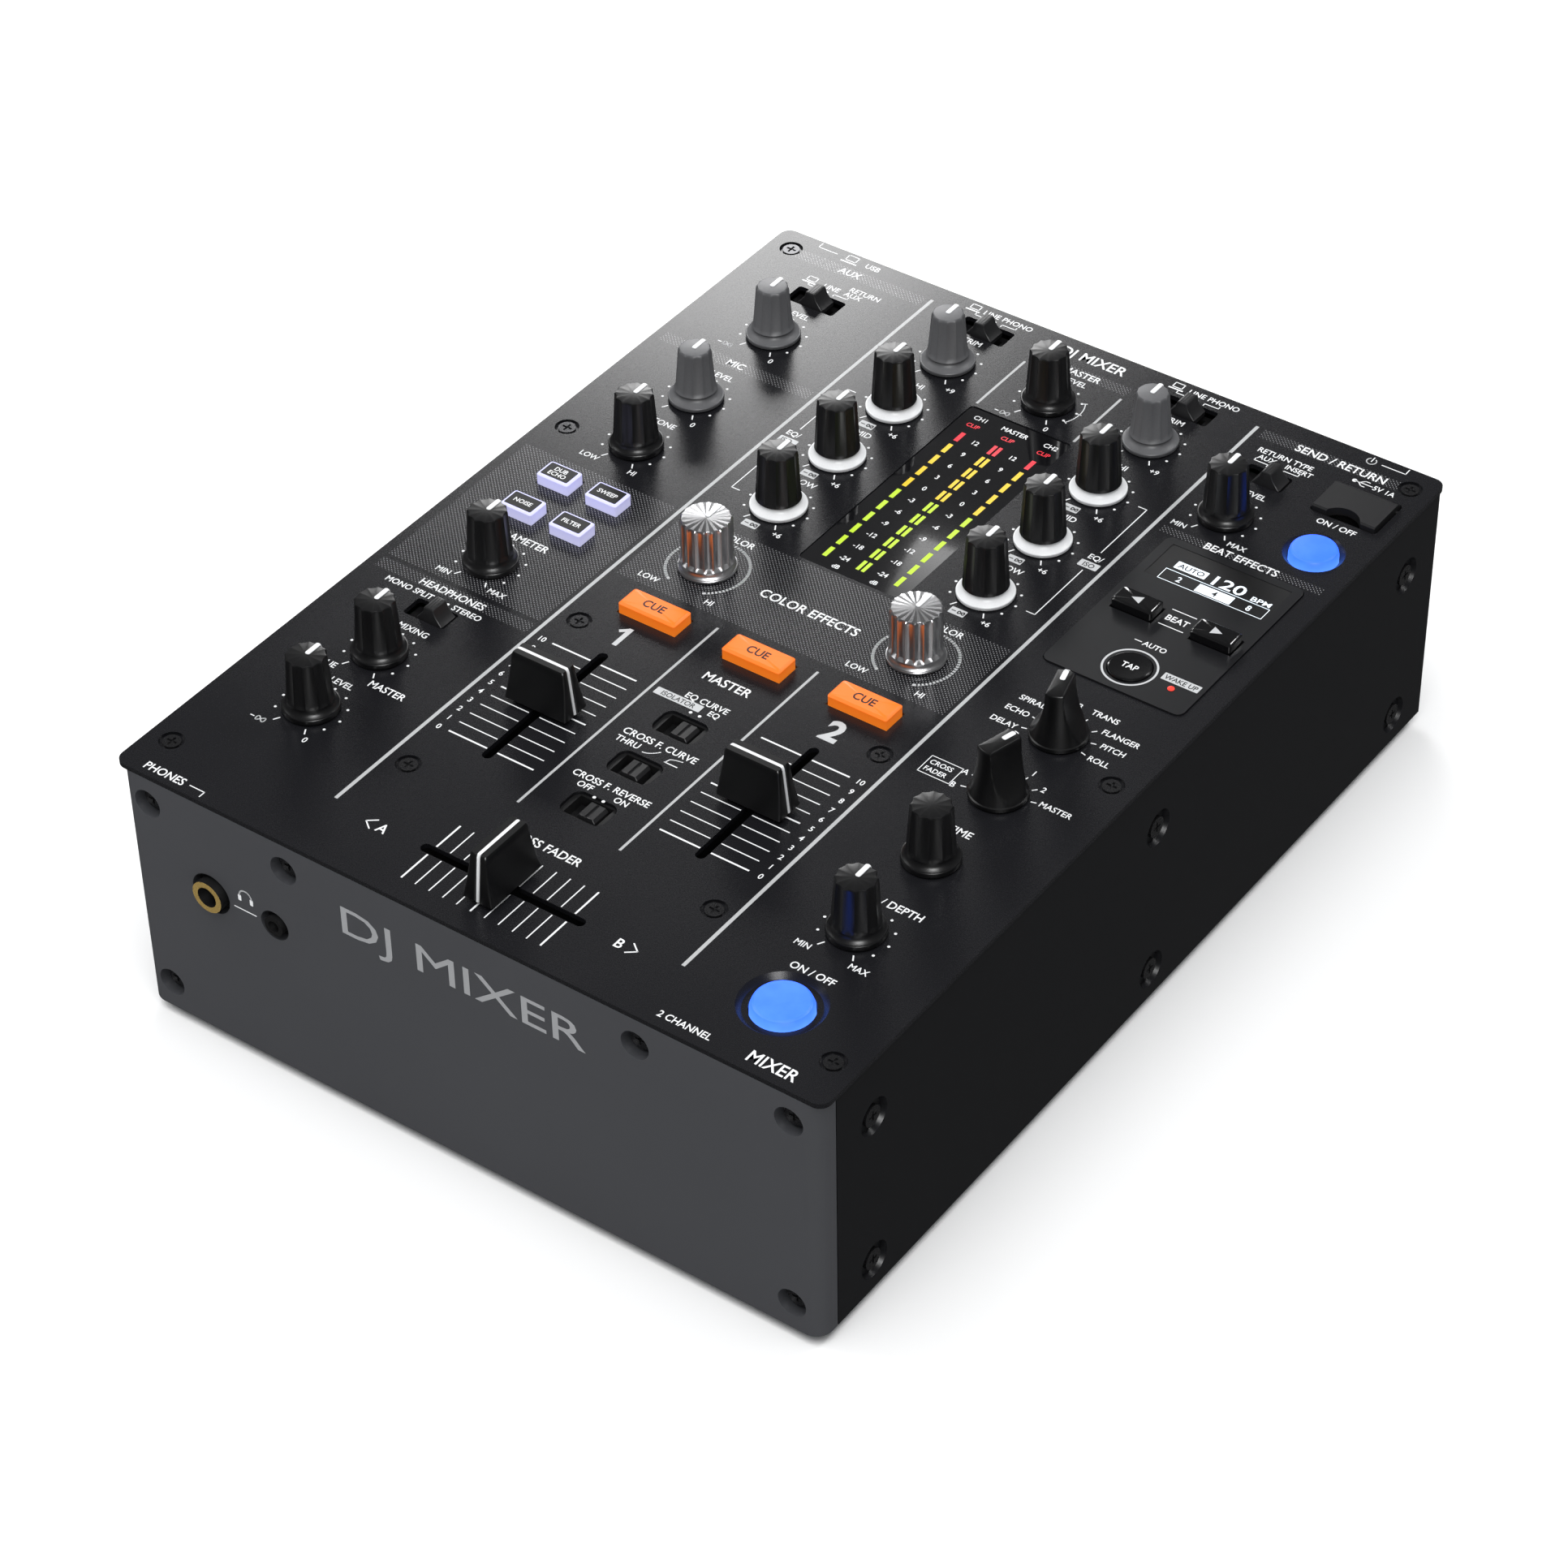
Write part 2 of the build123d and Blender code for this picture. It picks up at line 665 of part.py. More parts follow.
def top_plate():
    with BuildPart() as piece:
        with BuildSketch(Plane((0, plate_y, under))) as outline:
            RectangleRounded(plate_width, plate_depth, plate_corner)
        extrude(outline.sketch, amount=plate_thick)
        for (cap_r, dish_r, rise), x, y in lamp_buttons.values():
            low = plate_top - dish_depth - plate_thick
            inner = cap_r + cap_gap
            turned(
                x,
                y,
                [
                    (inner, low),
                    (dish_r + dish_wall - dish_depth, low),
                    (dish_r + dish_wall, under),
                    (dish_r + dish_wall, plate_top),
                    (inner, plate_top),
                ],
            )
            turned(
                x,
                y,
                [
                    (0, low),
                    (inner, low),
                    (inner, plate_top - dish_depth),
                    (dish_r - dish_depth, plate_top - dish_depth),
                    (dish_r, plate_top),
                    (0, plate_top),
                ],
                mode=Mode.SUBTRACT,
            )
        plate_openings()
        with BuildSketch(Plane((0, 0, plate_top - top_recess[1]))) as recesses:
            with Locations(*top_screws):
                Circle(top_recess[0])
        extrude(recesses.sketch, amount=top_recess[1], mode=Mode.SUBTRACT)
        with BuildSketch(Plane((0, 0, under))) as shanks:
            with Locations(*top_screws):
                Circle(top_shank[0] + rest_gap)
        extrude(shanks.sketch, amount=plate_thick, mode=Mode.SUBTRACT)
        x = flap_at[0]
        reach = flap_recess[0] / 2 + hinge_pin_in + rest_gap
        with BuildSketch(hinge_plane(x - reach)) as pin_hole:
            Circle(hinge_pin_r + running)
        extrude(pin_hole.sketch, amount=2 * reach, mode=Mode.SUBTRACT)
    save(piece, "top_plate")


def front_screw_places():
    corner = right - front_screw_corner
    high, low = front_screw_levels
    mids = [(-front_screw_mid, high), (front_screw_mid, high)]
    return [(side * corner, z) for side in (-1, 1) for z in (high, low)] + mids


def front_panel():
    width = 2 * side_out
    height = under - case_bottom
    middle = case_bottom + height / 2
    with BuildPart() as piece:
        with BuildSketch(Plane((0, front + front_depth / 2, case_bottom))) as outline:
            Rectangle(width, front_depth)
            fillet(vertices().group_by(Axis.Y)[0], front_corner)
        extrude(outline.sketch, amount=height)
        with BuildSketch(wall_plane(0, front_back, middle, -1)) as hollow:
            Rectangle(width - 2 * front_wall, height - 2 * front_wall)
            with Locations(*[(x, z - middle) for x, z in front_screw_places()]):
                Circle(front_recess[0] + front_boss, mode=Mode.SUBTRACT)
        extrude(hollow.sketch, amount=front_depth - front_wall, mode=Mode.SUBTRACT)
        for x, z in front_screw_places():
            wall_ring(x, front + front_recess[1], z, front_recess[0], 0, front_recess[1], -1, Mode.SUBTRACT)
            wall_ring(x, front_back, z, front_shank[0] + rest_gap, 0, front_depth, -1, Mode.SUBTRACT)
        for (x, z), radius in ((big_jack_at, big_jack_hole), (small_jack_at, small_jack_hole)):
            wall_ring(x, front_back, z, radius, 0, front_depth, -1, Mode.SUBTRACT)
    save(piece, "front_panel")


def side_panels():
    """Two flat sheets with a stamped dimple round each of their six screws."""
    low_y = front_back + seam
    depth = rear_face - low_y
    height = under - case_bottom
    radius, sunk = side_recess
    with BuildPart() as piece:
        for side in (-1, 1):
            middle = Vector(side * side_in, low_y + depth / 2, case_bottom + height / 2)
            wall = Plane(middle, x_dir=(0, side, 0), z_dir=(side, 0, 0))
            rows = [side * (y - middle.Y) for y in side_screw_rows]
            places = [(y, z - middle.Z) for y in rows for z in side_screw_levels]
            with BuildSketch(wall) as outline:
                Rectangle(depth, height)
            extrude(outline.sketch, amount=sheet)
            with BuildSketch(wall) as bosses:
                with Locations(*places):
                    Circle(radius)
            extrude(bosses.sketch, amount=-sunk)
            with BuildSketch(wall.offset(sheet - sunk)) as bowls:
                with Locations(*places):
                    Circle(radius - dimple_floor)
            extrude(bowls.sketch, amount=sunk, taper=-dimple_slope, mode=Mode.SUBTRACT)
            with BuildSketch(wall.offset(-sunk)) as shanks:
                with Locations(*places):
                    Circle(side_shank[0] + rest_gap)
            extrude(shanks.sketch, amount=sunk + sheet, mode=Mode.SUBTRACT)
    save(piece, "side_panels")


def base_chassis():
    """Bottom sheet, front flange, rear wall and side tabs bent from one sheet."""
    width = 2 * side_in
    depth = rear_face - front_back
    middle = (rear_face + front_back) / 2
    wall_height = under - case_bottom
    with BuildPart() as piece:
        block(0, middle, case_bottom, (width, depth, sheet))
        block(0, front_back + sheet / 2, case_bottom, (width, sheet, wall_height))
        block(0, rear_face - sheet / 2, case_bottom, (width, sheet, wall_height))
        for side in (-1, 1):
            for y in side_screw_rows:
                block(side * (tab_out - sheet / 2), y, floor_top, (sheet, tab_width, board_low - floor_top))
        for x, y in main_board_posts:
            ring(x, y, floor_top, standoff_r, 0, main_board_gap)
        side_shanks()
        for x, z in front_screw_places():
            wall_ring(x, flange_in, z, front_shank[0] + running, 0, sheet, -1, Mode.SUBTRACT)
        for (x, z), size in ((big_jack_at, big_jack_box), (small_jack_at, small_jack_box)):
            clear = size + 2 * front_cutout_gap
            wall_block(x, flange_in, z, (clear, clear, sheet), -1, Mode.SUBTRACT)
        rear_holes()
    save(piece, "base_chassis")


def side_shanks():
    """Screw holes through the side tabs."""
    for y in side_screw_rows:
        for z in side_screw_levels:
            with BuildSketch(Plane((-tab_out, y, z), x_dir=(0, 1, 0), z_dir=(1, 0, 0))) as shank:
                Circle(side_shank[0] + running)
            extrude(shank.sketch, amount=2 * tab_out, mode=Mode.SUBTRACT)


def rca_places():
    return [(x, rca_level + row * rca_pitch / 2) for x in rca_columns for row in (1, -1)]


def rear_holes():
    """Openings in the rear wall, each a little larger than what comes through."""
    with BuildSketch(wall_plane(0, rear_in, 0, 1)) as holes:
        with Locations(*[(-x, z) for x, z in rca_places()]):
            Circle(rca_neck + rest_gap)
        with Locations(*[(-x, low_level) for x in trs_columns]):
            Circle(trs_nozzle + rest_gap)
        with Locations((-combo_x, low_level), *[(-xlr_x, z) for z in xlr_levels]):
            Circle(xlr_r + rest_gap)
        with Locations((-inlet_at[0], inlet_at[1])):
            Rectangle(inlet_box[0] + 2 * rest_gap, inlet_box[1] + 2 * rest_gap)
        with Locations((-rocker_at[0], rocker_at[1])):
            Rectangle(rocker_box[0] + 2 * rest_gap, rocker_box[1] + 2 * rest_gap)
        with Locations((-usb_b_at[0], usb_b_at[1])):
            Rectangle(usb_b_box[0] + 2 * rest_gap, usb_b_box[1] + 2 * rest_gap)
        with Locations(*[(-x, post_level) for x in post_columns]):
            Circle(ground_post[1] + rest_gap)
    extrude(holes.sketch, amount=sheet, mode=Mode.SUBTRACT)


def meter_window():
    """Clear pane lying a little below the plate, held by a flange under it."""
    x, y = meter_at
    wide, deep = meter_size
    with BuildPart() as piece:
        block(x, y, under, (wide, deep, plate_thick - meter_recess), corner=meter_corner[1])
        block(x, y, under - sheet, (wide + 2 * flange_out, deep + 2 * flange_out, sheet))
    save(piece, "meter_window")


def effect_panel():
    """Insert under the beat buttons, with its display window let into it."""
    x, y = insert_at
    wide, deep = insert_size
    top = plate_top + insert_rise
    with BuildPart() as piece:
        block(x, y, under, (wide, deep, plate_thick + insert_rise), corner=insert_corner)
        block(x, y, under - insert_flange, (wide + 2 * flange_out, deep + 2 * flange_out, insert_flange))
        window = (display_size[0], display_size[1], display_depth)
        block(x, display_y, top - display_depth, window, Mode.SUBTRACT)
        for size, bx, by, stop in square_buttons.values():
            if stop != under:
                opening = (size[0] + 2 * cap_gap, size[1] + 2 * cap_gap, top - under + insert_flange)
                block(bx, by, under - insert_flange, opening, Mode.SUBTRACT)
        ring(*tap_at, under - insert_flange, tap_r + cap_gap, 0, top - under + insert_flange, Mode.SUBTRACT)
        lens_thick = display_depth - display_film - press
        lens = (display_size[0] - 2 * press, display_size[1] - 2 * press, lens_thick)
        block(x, display_y, top - display_depth + press, lens)
    save(piece, "effect_panel")


def circuit_boards():
    board_width = 2 * tab_out
    board_front = flange_in + seam
    board_rear = rear_in - seam
    main_low = floor_top + main_board_gap
    main_width = 2 * (side_in - main_board_side)
    with BuildPart() as piece:
        depth = board_rear - board_front
        block(0, board_front + depth / 2, board_low, (board_width, depth, board_thick))
        spare = 2 * (usb_a_wall + usb_hole_gap)
        hole = (usb_a[0] + spare, usb_a[1] + spare, board_thick)
        block(*usb_socket_at, board_low, hole, Mode.SUBTRACT)
        with BuildSketch(Plane((0, 0, board_low))) as screw_holes:
            with Locations(*top_screws):
                Circle(top_shank[0] + running)
        extrude(screw_holes.sketch, amount=board_thick, mode=Mode.SUBTRACT)
        block(0, main_board_y, main_low, (main_width, main_board_depth, board_thick))
        jack_width = rca_columns[-1] - rca_columns[0] + rca_box[0]
        jack_middle = (rca_columns[-1] + rca_columns[0]) / 2
        wall_block(
            jack_middle,
            rear_in - rca_box[1] - board_thick,
            rca_level,
            (jack_width, rca_pitch + rca_box[0], board_thick),
            1,
        )
        parts_low = main_low + board_thick
        block(right - supply_in, main_board_y, parts_low, supply_box)
        for row in (-1, 0, 1):
            y = main_board_y + part_pitch * row
            ring(right - capacitor_in, y, parts_low, capacitor[0], 0, capacitor[1])
        for row in range(4):
            block(left + chip_in + part_pitch * row, main_board_y - chip_forward, parts_low, chip)
    save(piece, "circuit_boards")


def fader_channel(x, y, across):
    """Open channel on the control board that the fader's carriage slides in."""
    length = fader_travel + slot_spare + 2 * channel_wall + channel_spare
    with BuildSketch(Plane((x, y, board_top), x_dir=across)) as outer:
        Rectangle(channel_width, length)
    extrude(outer.sketch, amount=board_drop)
    with BuildSketch(Plane((x, y, board_top + channel_wall), x_dir=across)) as hollow:
        Rectangle(channel_width - 2 * channel_wall, length - 2 * channel_wall)
    extrude(hollow.sketch, amount=board_drop, mode=Mode.SUBTRACT)


def pot_body(x, y):
    block(x, y, board_top, (pot_side, pot_side, board_drop))
    ring(x, y, under, bush_r, 0, plate_thick)
    depth = shaft_in_pot + rest_gap
    ring(x, y, plate_top - depth, shaft_r + running, 0, depth, Mode.SUBTRACT)


def control_bodies():
    """What stands on the control board under the plate."""
    with BuildPart() as piece:
        for kind, x, y in knob_places.values():
            pot_body(x, y)
        for x, y, angle in selector_places.values():
            pot_body(x, y)
        for x, y, across in fader_places.values():
            fader_channel(x, y, across)
        for size, x, y, stop in square_buttons.values():
            tact_switch(x, y, stop)
        tact_switch(*tap_at, under - insert_flange)
        for sizes, x, y in lamp_buttons.values():
            tact_switch(x, y, plate_top - dish_depth - plate_thick)
        groove_depth = lever_foot[2] + rest_gap
        for slot, x, y, at, half in lever_places.values():
            top = under - switch_body_gap
            block(x, y, board_top, (lever_slot[slot][0], lever_slot[slot][1], top - board_top))
            groove = (lever_foot[0] + 2 * half + 2 * cap_gap, lever_foot[1] + 2 * cap_gap, groove_depth)
            block(x, y, top - groove_depth, groove, Mode.SUBTRACT)
        for x, y, at, half in mini_places.values():
            top = under - mini_body_drop
            wide = mini_slot[0] - 2 * rest_gap
            deep = mini_slot[1] - 2 * rest_gap
            rim = plate_top - mini_bezel_recess
            block(x, y, board_top, (wide, deep, rim - board_top), corner=mini_corner[1])
            well = (wide - 2 * mini_bezel_wall[0], deep - 2 * mini_bezel_wall[1], rim - top)
            block(x, y, top, well, Mode.SUBTRACT)
            groove = (lever_foot[0] + 2 * half + 2 * cap_gap, lever_foot[1] + 2 * cap_gap, groove_depth)
            block(x, y, top - groove_depth, groove, Mode.SUBTRACT)
        for x, y in top_screws:
            ring(x, y, board_top, pillar_r, top_shank[0] + running, board_drop)
        light_top = under - sheet - rest_gap
        light = (meter_size[0] - 2 * light_margin, meter_size[1] - 2 * light_margin, light_top - board_top)
        block(*meter_at, board_top, light)
        lamp_top = under - insert_flange - rest_gap
        display = (display_size[0] - light_margin, display_size[1] - light_margin, lamp_top - board_top)
        block(insert_at[0], display_y, board_top, display)
    save(piece, "control_bodies")


def tact_switch(x, y, stop):
    top = stop - 2 * rest_gap - flange_height - button_travel
    block(x, y, board_top, (switch_side, switch_side, top - board_top))


def front_jack(place, bore, nozzle, proud, depth, size):
    x, z = place
    inner = front + front_wall
    wall_ring(x, inner, z, nozzle, 0, front_wall + proud, -1)
    wall_block(x, inner, z, (size, size, depth - front_wall - proud), 1)
    wall_ring(x, front - proud, z, bore, 0, depth - jack_floor, 1, Mode.SUBTRACT)


def panel_sockets():
    """Both headphone sockets, and the USB-A socket in the tray under its flap."""
    x, y = flap_at
    wide, deep = flap_recess
    with BuildPart() as piece:
        front_jack(
            big_jack_at, big_jack_bore, big_jack_nozzle, jack_proud, big_jack_depth, big_jack_box
        )
        front_jack(
            small_jack_at,
            small_jack_bore,
            small_jack_nozzle,
            small_jack_proud,
            small_jack_depth,
            small_jack_box,
        )
        block(x, y, tray_low, (wide + 2 * sheet, deep + 2 * sheet, under - tray_low))
        block(x, y, tray_floor, (wide, deep, under - tray_floor), Mode.SUBTRACT)
        socket_low = tray_floor - usb_a_depth
        ux, uy = usb_socket_at
        shell = (usb_a[0] + 2 * usb_a_wall, usb_a[1] + 2 * usb_a_wall, usb_a_depth)
        block(ux, uy, socket_low, shell)
        block(ux, uy, socket_low + usb_a_floor, (usb_a[0], usb_a[1], usb_a_depth), Mode.SUBTRACT)
        tongue_height = usb_a_depth - usb_a_floor - usb_tongue_back
        block(ux, uy, socket_low + usb_a_floor, (usb_tongue[0], usb_tongue[1], tongue_height))
    save(piece, "panel_sockets")


def xlr_shell(x, z):
    wide, high, thick = xlr_flange
    wall_block(x, rear_face, z, (wide, high, thick), 1)
    wall_ring(x, rear_face - xlr_depth, z, xlr_r, 0, xlr_depth, 1)


def rear_jacks():
    """What comes through the rear wall, apart from the USB-B socket and the power rocker."""
    face = rear_face
    with BuildPart() as piece:
        for x, z in rca_places():
            side, depth = rca_box
            wall_block(x, rear_in - depth, z, (side, side, depth), 1)
            tip = rear + rca_proud
            wall_ring(x, rear_in + press, z, rca_neck, rca_bore, tip - rear_in - press, 1)
            wall_ring(x, rear_face + rca_seat, z, rca_r, rca_bore, tip - rear_face - rca_seat, 1)
        for x in trs_columns:
            side, depth = trs_box
            wall_block(x, rear_in - depth, low_level, (side, side, depth), 1)
            wall_ring(x, rear_in, low_level, trs_nozzle, 0, sheet + trs_proud, 1)
            bore_depth = depth - jack_floor + sheet + trs_proud
            floor = rear_in - depth + jack_floor
            wall_ring(x, floor, low_level, big_jack_bore, 0, bore_depth, 1, Mode.SUBTRACT)
        pin_r, pin_length, pin_circle = xlr_pin
        cavity_r, cavity_depth = xlr_cavity
        for z in xlr_levels:
            xlr_shell(xlr_x, z)
            mouth = face + xlr_flange[2]
            wall_ring(xlr_x, mouth - cavity_depth, z, cavity_r, 0, cavity_depth, 1, Mode.SUBTRACT)
            with BuildSketch(wall_plane(xlr_x, mouth - cavity_depth, z, 1)) as pins:
                with PolarLocations(pin_circle, 3, start_angle=-90, angular_range=270):
                    Circle(pin_r)
            extrude(pins.sketch, amount=pin_length)
        xlr_shell(combo_x, low_level)
        with BuildSketch(wall_plane(combo_x, face + xlr_flange[2], low_level, 1)) as combo:
            Circle(big_jack_bore)
            with PolarLocations(combo_circle, 3, start_angle=-90, angular_range=270):
                Circle(combo_pin_bore)
        extrude(combo.sketch, amount=-combo_depth, mode=Mode.SUBTRACT)
        mains_inlet()
        rocker_housing()
        for x in post_columns:
            nut_r, stud_r, reach = ground_post
            inner_nut, lift, outer_nut = post_nut
            wall_ring(x, rear_in, post_level, stud_r, 0, reach, 1)
            wall_ring(x, rear_in - inner_nut, post_level, nut_r, 0, inner_nut, 1)
            wall_ring(x, face + lift, post_level, nut_r, 0, outer_nut, 1)
    save(piece, "rear_jacks")


def mains_inlet():
    x, z = inlet_at
    wall_block(x, rear_face, z, inlet_flange, 1)
    wall_block(x, rear_face - inlet_box[2], z, inlet_box, 1)
    mouth = rear_face + inlet_flange[2]
    wall_block(x, mouth - inlet_cavity[2], z, inlet_cavity, 1, Mode.SUBTRACT)
    thick, high, length, pitch = inlet_pin
    for shift, rise in ((-pitch, -inlet_pin_rise), (0, inlet_pin_rise), (pitch, -inlet_pin_rise)):
        wall_block(x + shift, mouth - inlet_cavity[2], z + rise, (thick, high, length), 1)


def usb_b_socket():
    x, z = usb_b_at
    mouth = rear_face + usb_b_proud
    with BuildPart() as piece:
        wall_block(x, mouth - usb_b_box[2], z, usb_b_box, 1)
        wall_block(x, mouth - usb_b_cavity[2], z, usb_b_cavity, 1, Mode.SUBTRACT)
        wall_block(x, mouth - usb_b_cavity[2], z, usb_b_tongue, 1)
    save(piece, "usb_b_socket")


def rocker_housing():
    x, z = rocker_at
    wall_block(x, rear_face, z, rocker_bezel, 1)
    wall_block(x, rear_face - rocker_box[2], z, rocker_box, 1)
    mouth = rear_face + rocker_bezel[2]
    cavity = (rocker_cavity[0], rocker_cavity[1], rocker_cavity[2] + rocker_bezel[2])
    wall_block(x, mouth - cavity[2], z, cavity, 1, Mode.SUBTRACT)
    with BuildSketch(Plane((x, rocker_pivot_y, z), x_dir=(0, 1, 0), z_dir=(1, 0, 0))) as pin:
        Circle(rocker_pin_r + running)
    extrude(pin.sketch, amount=rocker_box[0] / 2, both=True, mode=Mode.SUBTRACT)


def screws():
    """All machine screws: a head, a shank and a driver's cross in each."""
    front_places = front_screw_places()
    with BuildPart() as piece:
        seat = plate_top - top_recess[1]
        for x, y in top_screws:
            ring(x, y, seat, top_head[0], 0, top_head[1])
            ring(x, y, seat - top_shank[1], top_shank[0], 0, top_shank[1])
        driver_cross(Plane((0, 0, seat + top_head[1])), top_screws)
        for side in (-1, 1):
            wall = Plane((side * (side_out - side_recess[1]), 0, 0), x_dir=(0, side, 0), z_dir=(side, 0, 0))
            places = [(side * y, z) for y in side_screw_rows for z in side_screw_levels]
            with BuildSketch(wall) as heads:
                with Locations(*places):
                    Circle(side_head[0])
            extrude(heads.sketch, amount=side_head[1])
            with BuildSketch(wall) as shanks:
                with Locations(*places):
                    Circle(side_shank[0])
            extrude(shanks.sketch, amount=-side_shank[1])
            driver_cross(wall.offset(side_head[1]), places)
        for x, z in front_places:
            wall_ring(x, front + front_recess[1], z, front_head[0], 0, front_head[1], -1)
            wall_ring(x, front + front_recess[1], z, front_shank[0], 0, front_shank[1], 1)
        driver_cross(wall_plane(0, front + front_recess[1] - front_head[1], 0, -1), front_places)
    save(piece, "screws")


def rubber_feet():
    with BuildPart() as piece:
        for x in (left + foot_inset_x, right - foot_inset_x):
            for y in (front + foot_inset_y, rear - foot_inset_y):
                outline = [(0, 0), (foot_r - foot_bevel, 0), (foot_r, foot_bevel)]
                outline += [(foot_r, foot_height), (0, foot_height)]
                turned(x, y, outline)
    save(piece, "rubber_feet")


os.makedirs("parts", exist_ok=True)
for name, (kind, x, y) in knob_places.items():
    fluted_knob(name, kind, x, y)
for name, (x, y, angle) in selector_places.items():
    selector_knob(name, x, y, angle)
for name, (x, y, across) in fader_places.items():
    fader(name, x, y, across)
for name, (size, x, y, stop) in square_buttons.items():
    square_button(name, size, x, y, stop)
round_button("tap_button", *tap_at, tap_r, plate_top + tap_rise, under - insert_flange)
for name, ((radius, dish_r, rise), x, y) in lamp_buttons.items():
    round_button(name, x, y, radius, plate_top + rise, plate_top - dish_depth - plate_thick)
for name, (slot, x, y, at, half) in lever_places.items():
    lever_switch(name, x + at, y)
for name, (x, y, at, half) in mini_places.items():
    mini_switch(name, x + at, y)
usb_flap("usb_flap")
power_rocker("power_rocker")
top_plate()
front_panel()
side_panels()
base_chassis()
meter_window()
effect_panel()
circuit_boards()
control_bodies()
panel_sockets()
rear_jacks()
usb_b_socket()
screws()
rubber_feet()
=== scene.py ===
import bpy
import math
import numpy as np
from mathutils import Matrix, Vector


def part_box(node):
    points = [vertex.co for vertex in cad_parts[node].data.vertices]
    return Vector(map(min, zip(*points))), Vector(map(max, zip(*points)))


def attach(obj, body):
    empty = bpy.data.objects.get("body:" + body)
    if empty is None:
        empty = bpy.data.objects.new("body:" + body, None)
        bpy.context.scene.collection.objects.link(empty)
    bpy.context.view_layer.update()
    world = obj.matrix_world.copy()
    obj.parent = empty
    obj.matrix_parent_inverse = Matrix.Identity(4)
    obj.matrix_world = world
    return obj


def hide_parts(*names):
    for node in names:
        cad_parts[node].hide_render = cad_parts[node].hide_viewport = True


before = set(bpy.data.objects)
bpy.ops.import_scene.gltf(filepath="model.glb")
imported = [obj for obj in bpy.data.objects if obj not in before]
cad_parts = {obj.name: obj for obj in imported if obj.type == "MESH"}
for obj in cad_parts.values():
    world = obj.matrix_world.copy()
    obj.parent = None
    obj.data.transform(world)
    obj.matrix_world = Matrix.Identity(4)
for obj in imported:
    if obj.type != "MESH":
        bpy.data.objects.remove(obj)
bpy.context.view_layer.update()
mm = 0.001
plateLow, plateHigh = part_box("top_plate")
plateMid = (plateLow + plateHigh) / 2 / mm
plateTop = plateHigh.z / mm
print("frame loaded:", len(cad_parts), "nodes")


def spot(node):
    # Middle of a CAD node in plan, in millimetres from the plate's middle.
    low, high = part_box(node)
    return (low.x + high.x) / 2 / mm - plateMid.x, (low.y + high.y) / 2 / mm - plateMid.y


# shaders written as expressions
class Wire:
    # A shader socket that can be added, multiplied and compared like a number.

    def __init__(self, make, socket):
        self.make = make
        self.socket = socket

    def __add__(self, other):
        return self.make.maths("ADD", self, other)

    def __radd__(self, other):
        return self.make.maths("ADD", other, self)

    def __sub__(self, other):
        return self.make.maths("SUBTRACT", self, other)

    def __rsub__(self, other):
        return self.make.maths("SUBTRACT", other, self)

    def __mul__(self, other):
        return self.make.maths("MULTIPLY", self, other)

    def __rmul__(self, other):
        return self.make.maths("MULTIPLY", other, self)

    def __truediv__(self, other):
        return self.make.maths("DIVIDE", self, other)

    def __rtruediv__(self, other):
        return self.make.maths("DIVIDE", other, self)

    def __lt__(self, other):
        return self.make.maths("LESS_THAN", self, other)

    def __gt__(self, other):
        return self.make.maths("GREATER_THAN", self, other)

    def over(self, name):
        return self.make.maths(name, self)


class Maker:
    # Adds nodes to one material.

    def __init__(self, name):
        self.material = bpy.data.materials.new(name)
        self.material.use_nodes = True
        self.tree = self.material.node_tree
        self.shader = self.tree.nodes["Principled BSDF"]

    def node(self, kind, settings=None, values=None, out=0):
        made = self.tree.nodes.new(kind)
        for key, value in (settings or {}).items():
            setattr(made, key, value)
        for key, value in (values or {}).items():
            socket = made.inputs[key]
            if isinstance(value, Wire):
                self.tree.links.new(value.socket, socket)
            else:
                socket.default_value = value
        return Wire(self, made.outputs[out])

    def maths(self, operation, *values):
        return self.node("ShaderNodeMath", {"operation": operation}, dict(enumerate(values)))

    def place(self, scale=1.0):
        # Object coordinates in millimetres, times a scale.
        coords = self.node("ShaderNodeTexCoord", out=3)
        return self.node("ShaderNodeMapping", {}, {"Vector": coords, "Scale": (scale / mm,) * 3})

    def noise(self, scale, detail=2.0, rough=0.5):
        values = {"Vector": self.place(scale), "Scale": 1.0, "Detail": detail, "Roughness": rough}
        return self.node("ShaderNodeTexNoise", {}, values)

    def axes(self):
        split = self.node("ShaderNodeSeparateXYZ", {}, {"Vector": self.place()})
        outs = split.socket.node.outputs
        return [Wire(self, outs[i]) for i in range(3)]

    def mix(self, share, first, second):
        made = self.tree.nodes.new("ShaderNodeMix")
        made.data_type = "RGBA"
        for key, value in ((0, share), (6, first), (7, second)):
            if isinstance(value, Wire):
                self.tree.links.new(value.socket, made.inputs[key])
            else:
                made.inputs[key].default_value = value if key == 0 else (*value, 1)
        return Wire(self, made.outputs[2])

    def set(self, **values):
        for key, value in values.items():
            socket = self.shader.inputs[key.replace("_", " ")]
            if isinstance(value, Wire):
                self.tree.links.new(value.socket, socket)
            elif isinstance(value, tuple) and len(value) == 3 and socket.type == "RGBA":
                socket.default_value = (*value, 1)
            else:
                socket.default_value = value
        return self

    def bump(self, height, strength, depth):
        values = {"Height": height, "Strength": strength, "Distance": depth * mm}
        return self.set(Normal=self.node("ShaderNodeBump", {}, values))


# finishes
finishes = {
    "plate": {"tint": (0.0082, 0.0083, 0.0098), "rough": 0.27, "sheen": 0.36},
    "front": {"tint": (0.055, 0.0565, 0.0625), "rough": 0.42},
    "side": {"tint": (0.0045, 0.0049, 0.0064), "rough": 0.34, "sheen": 0.36},
}


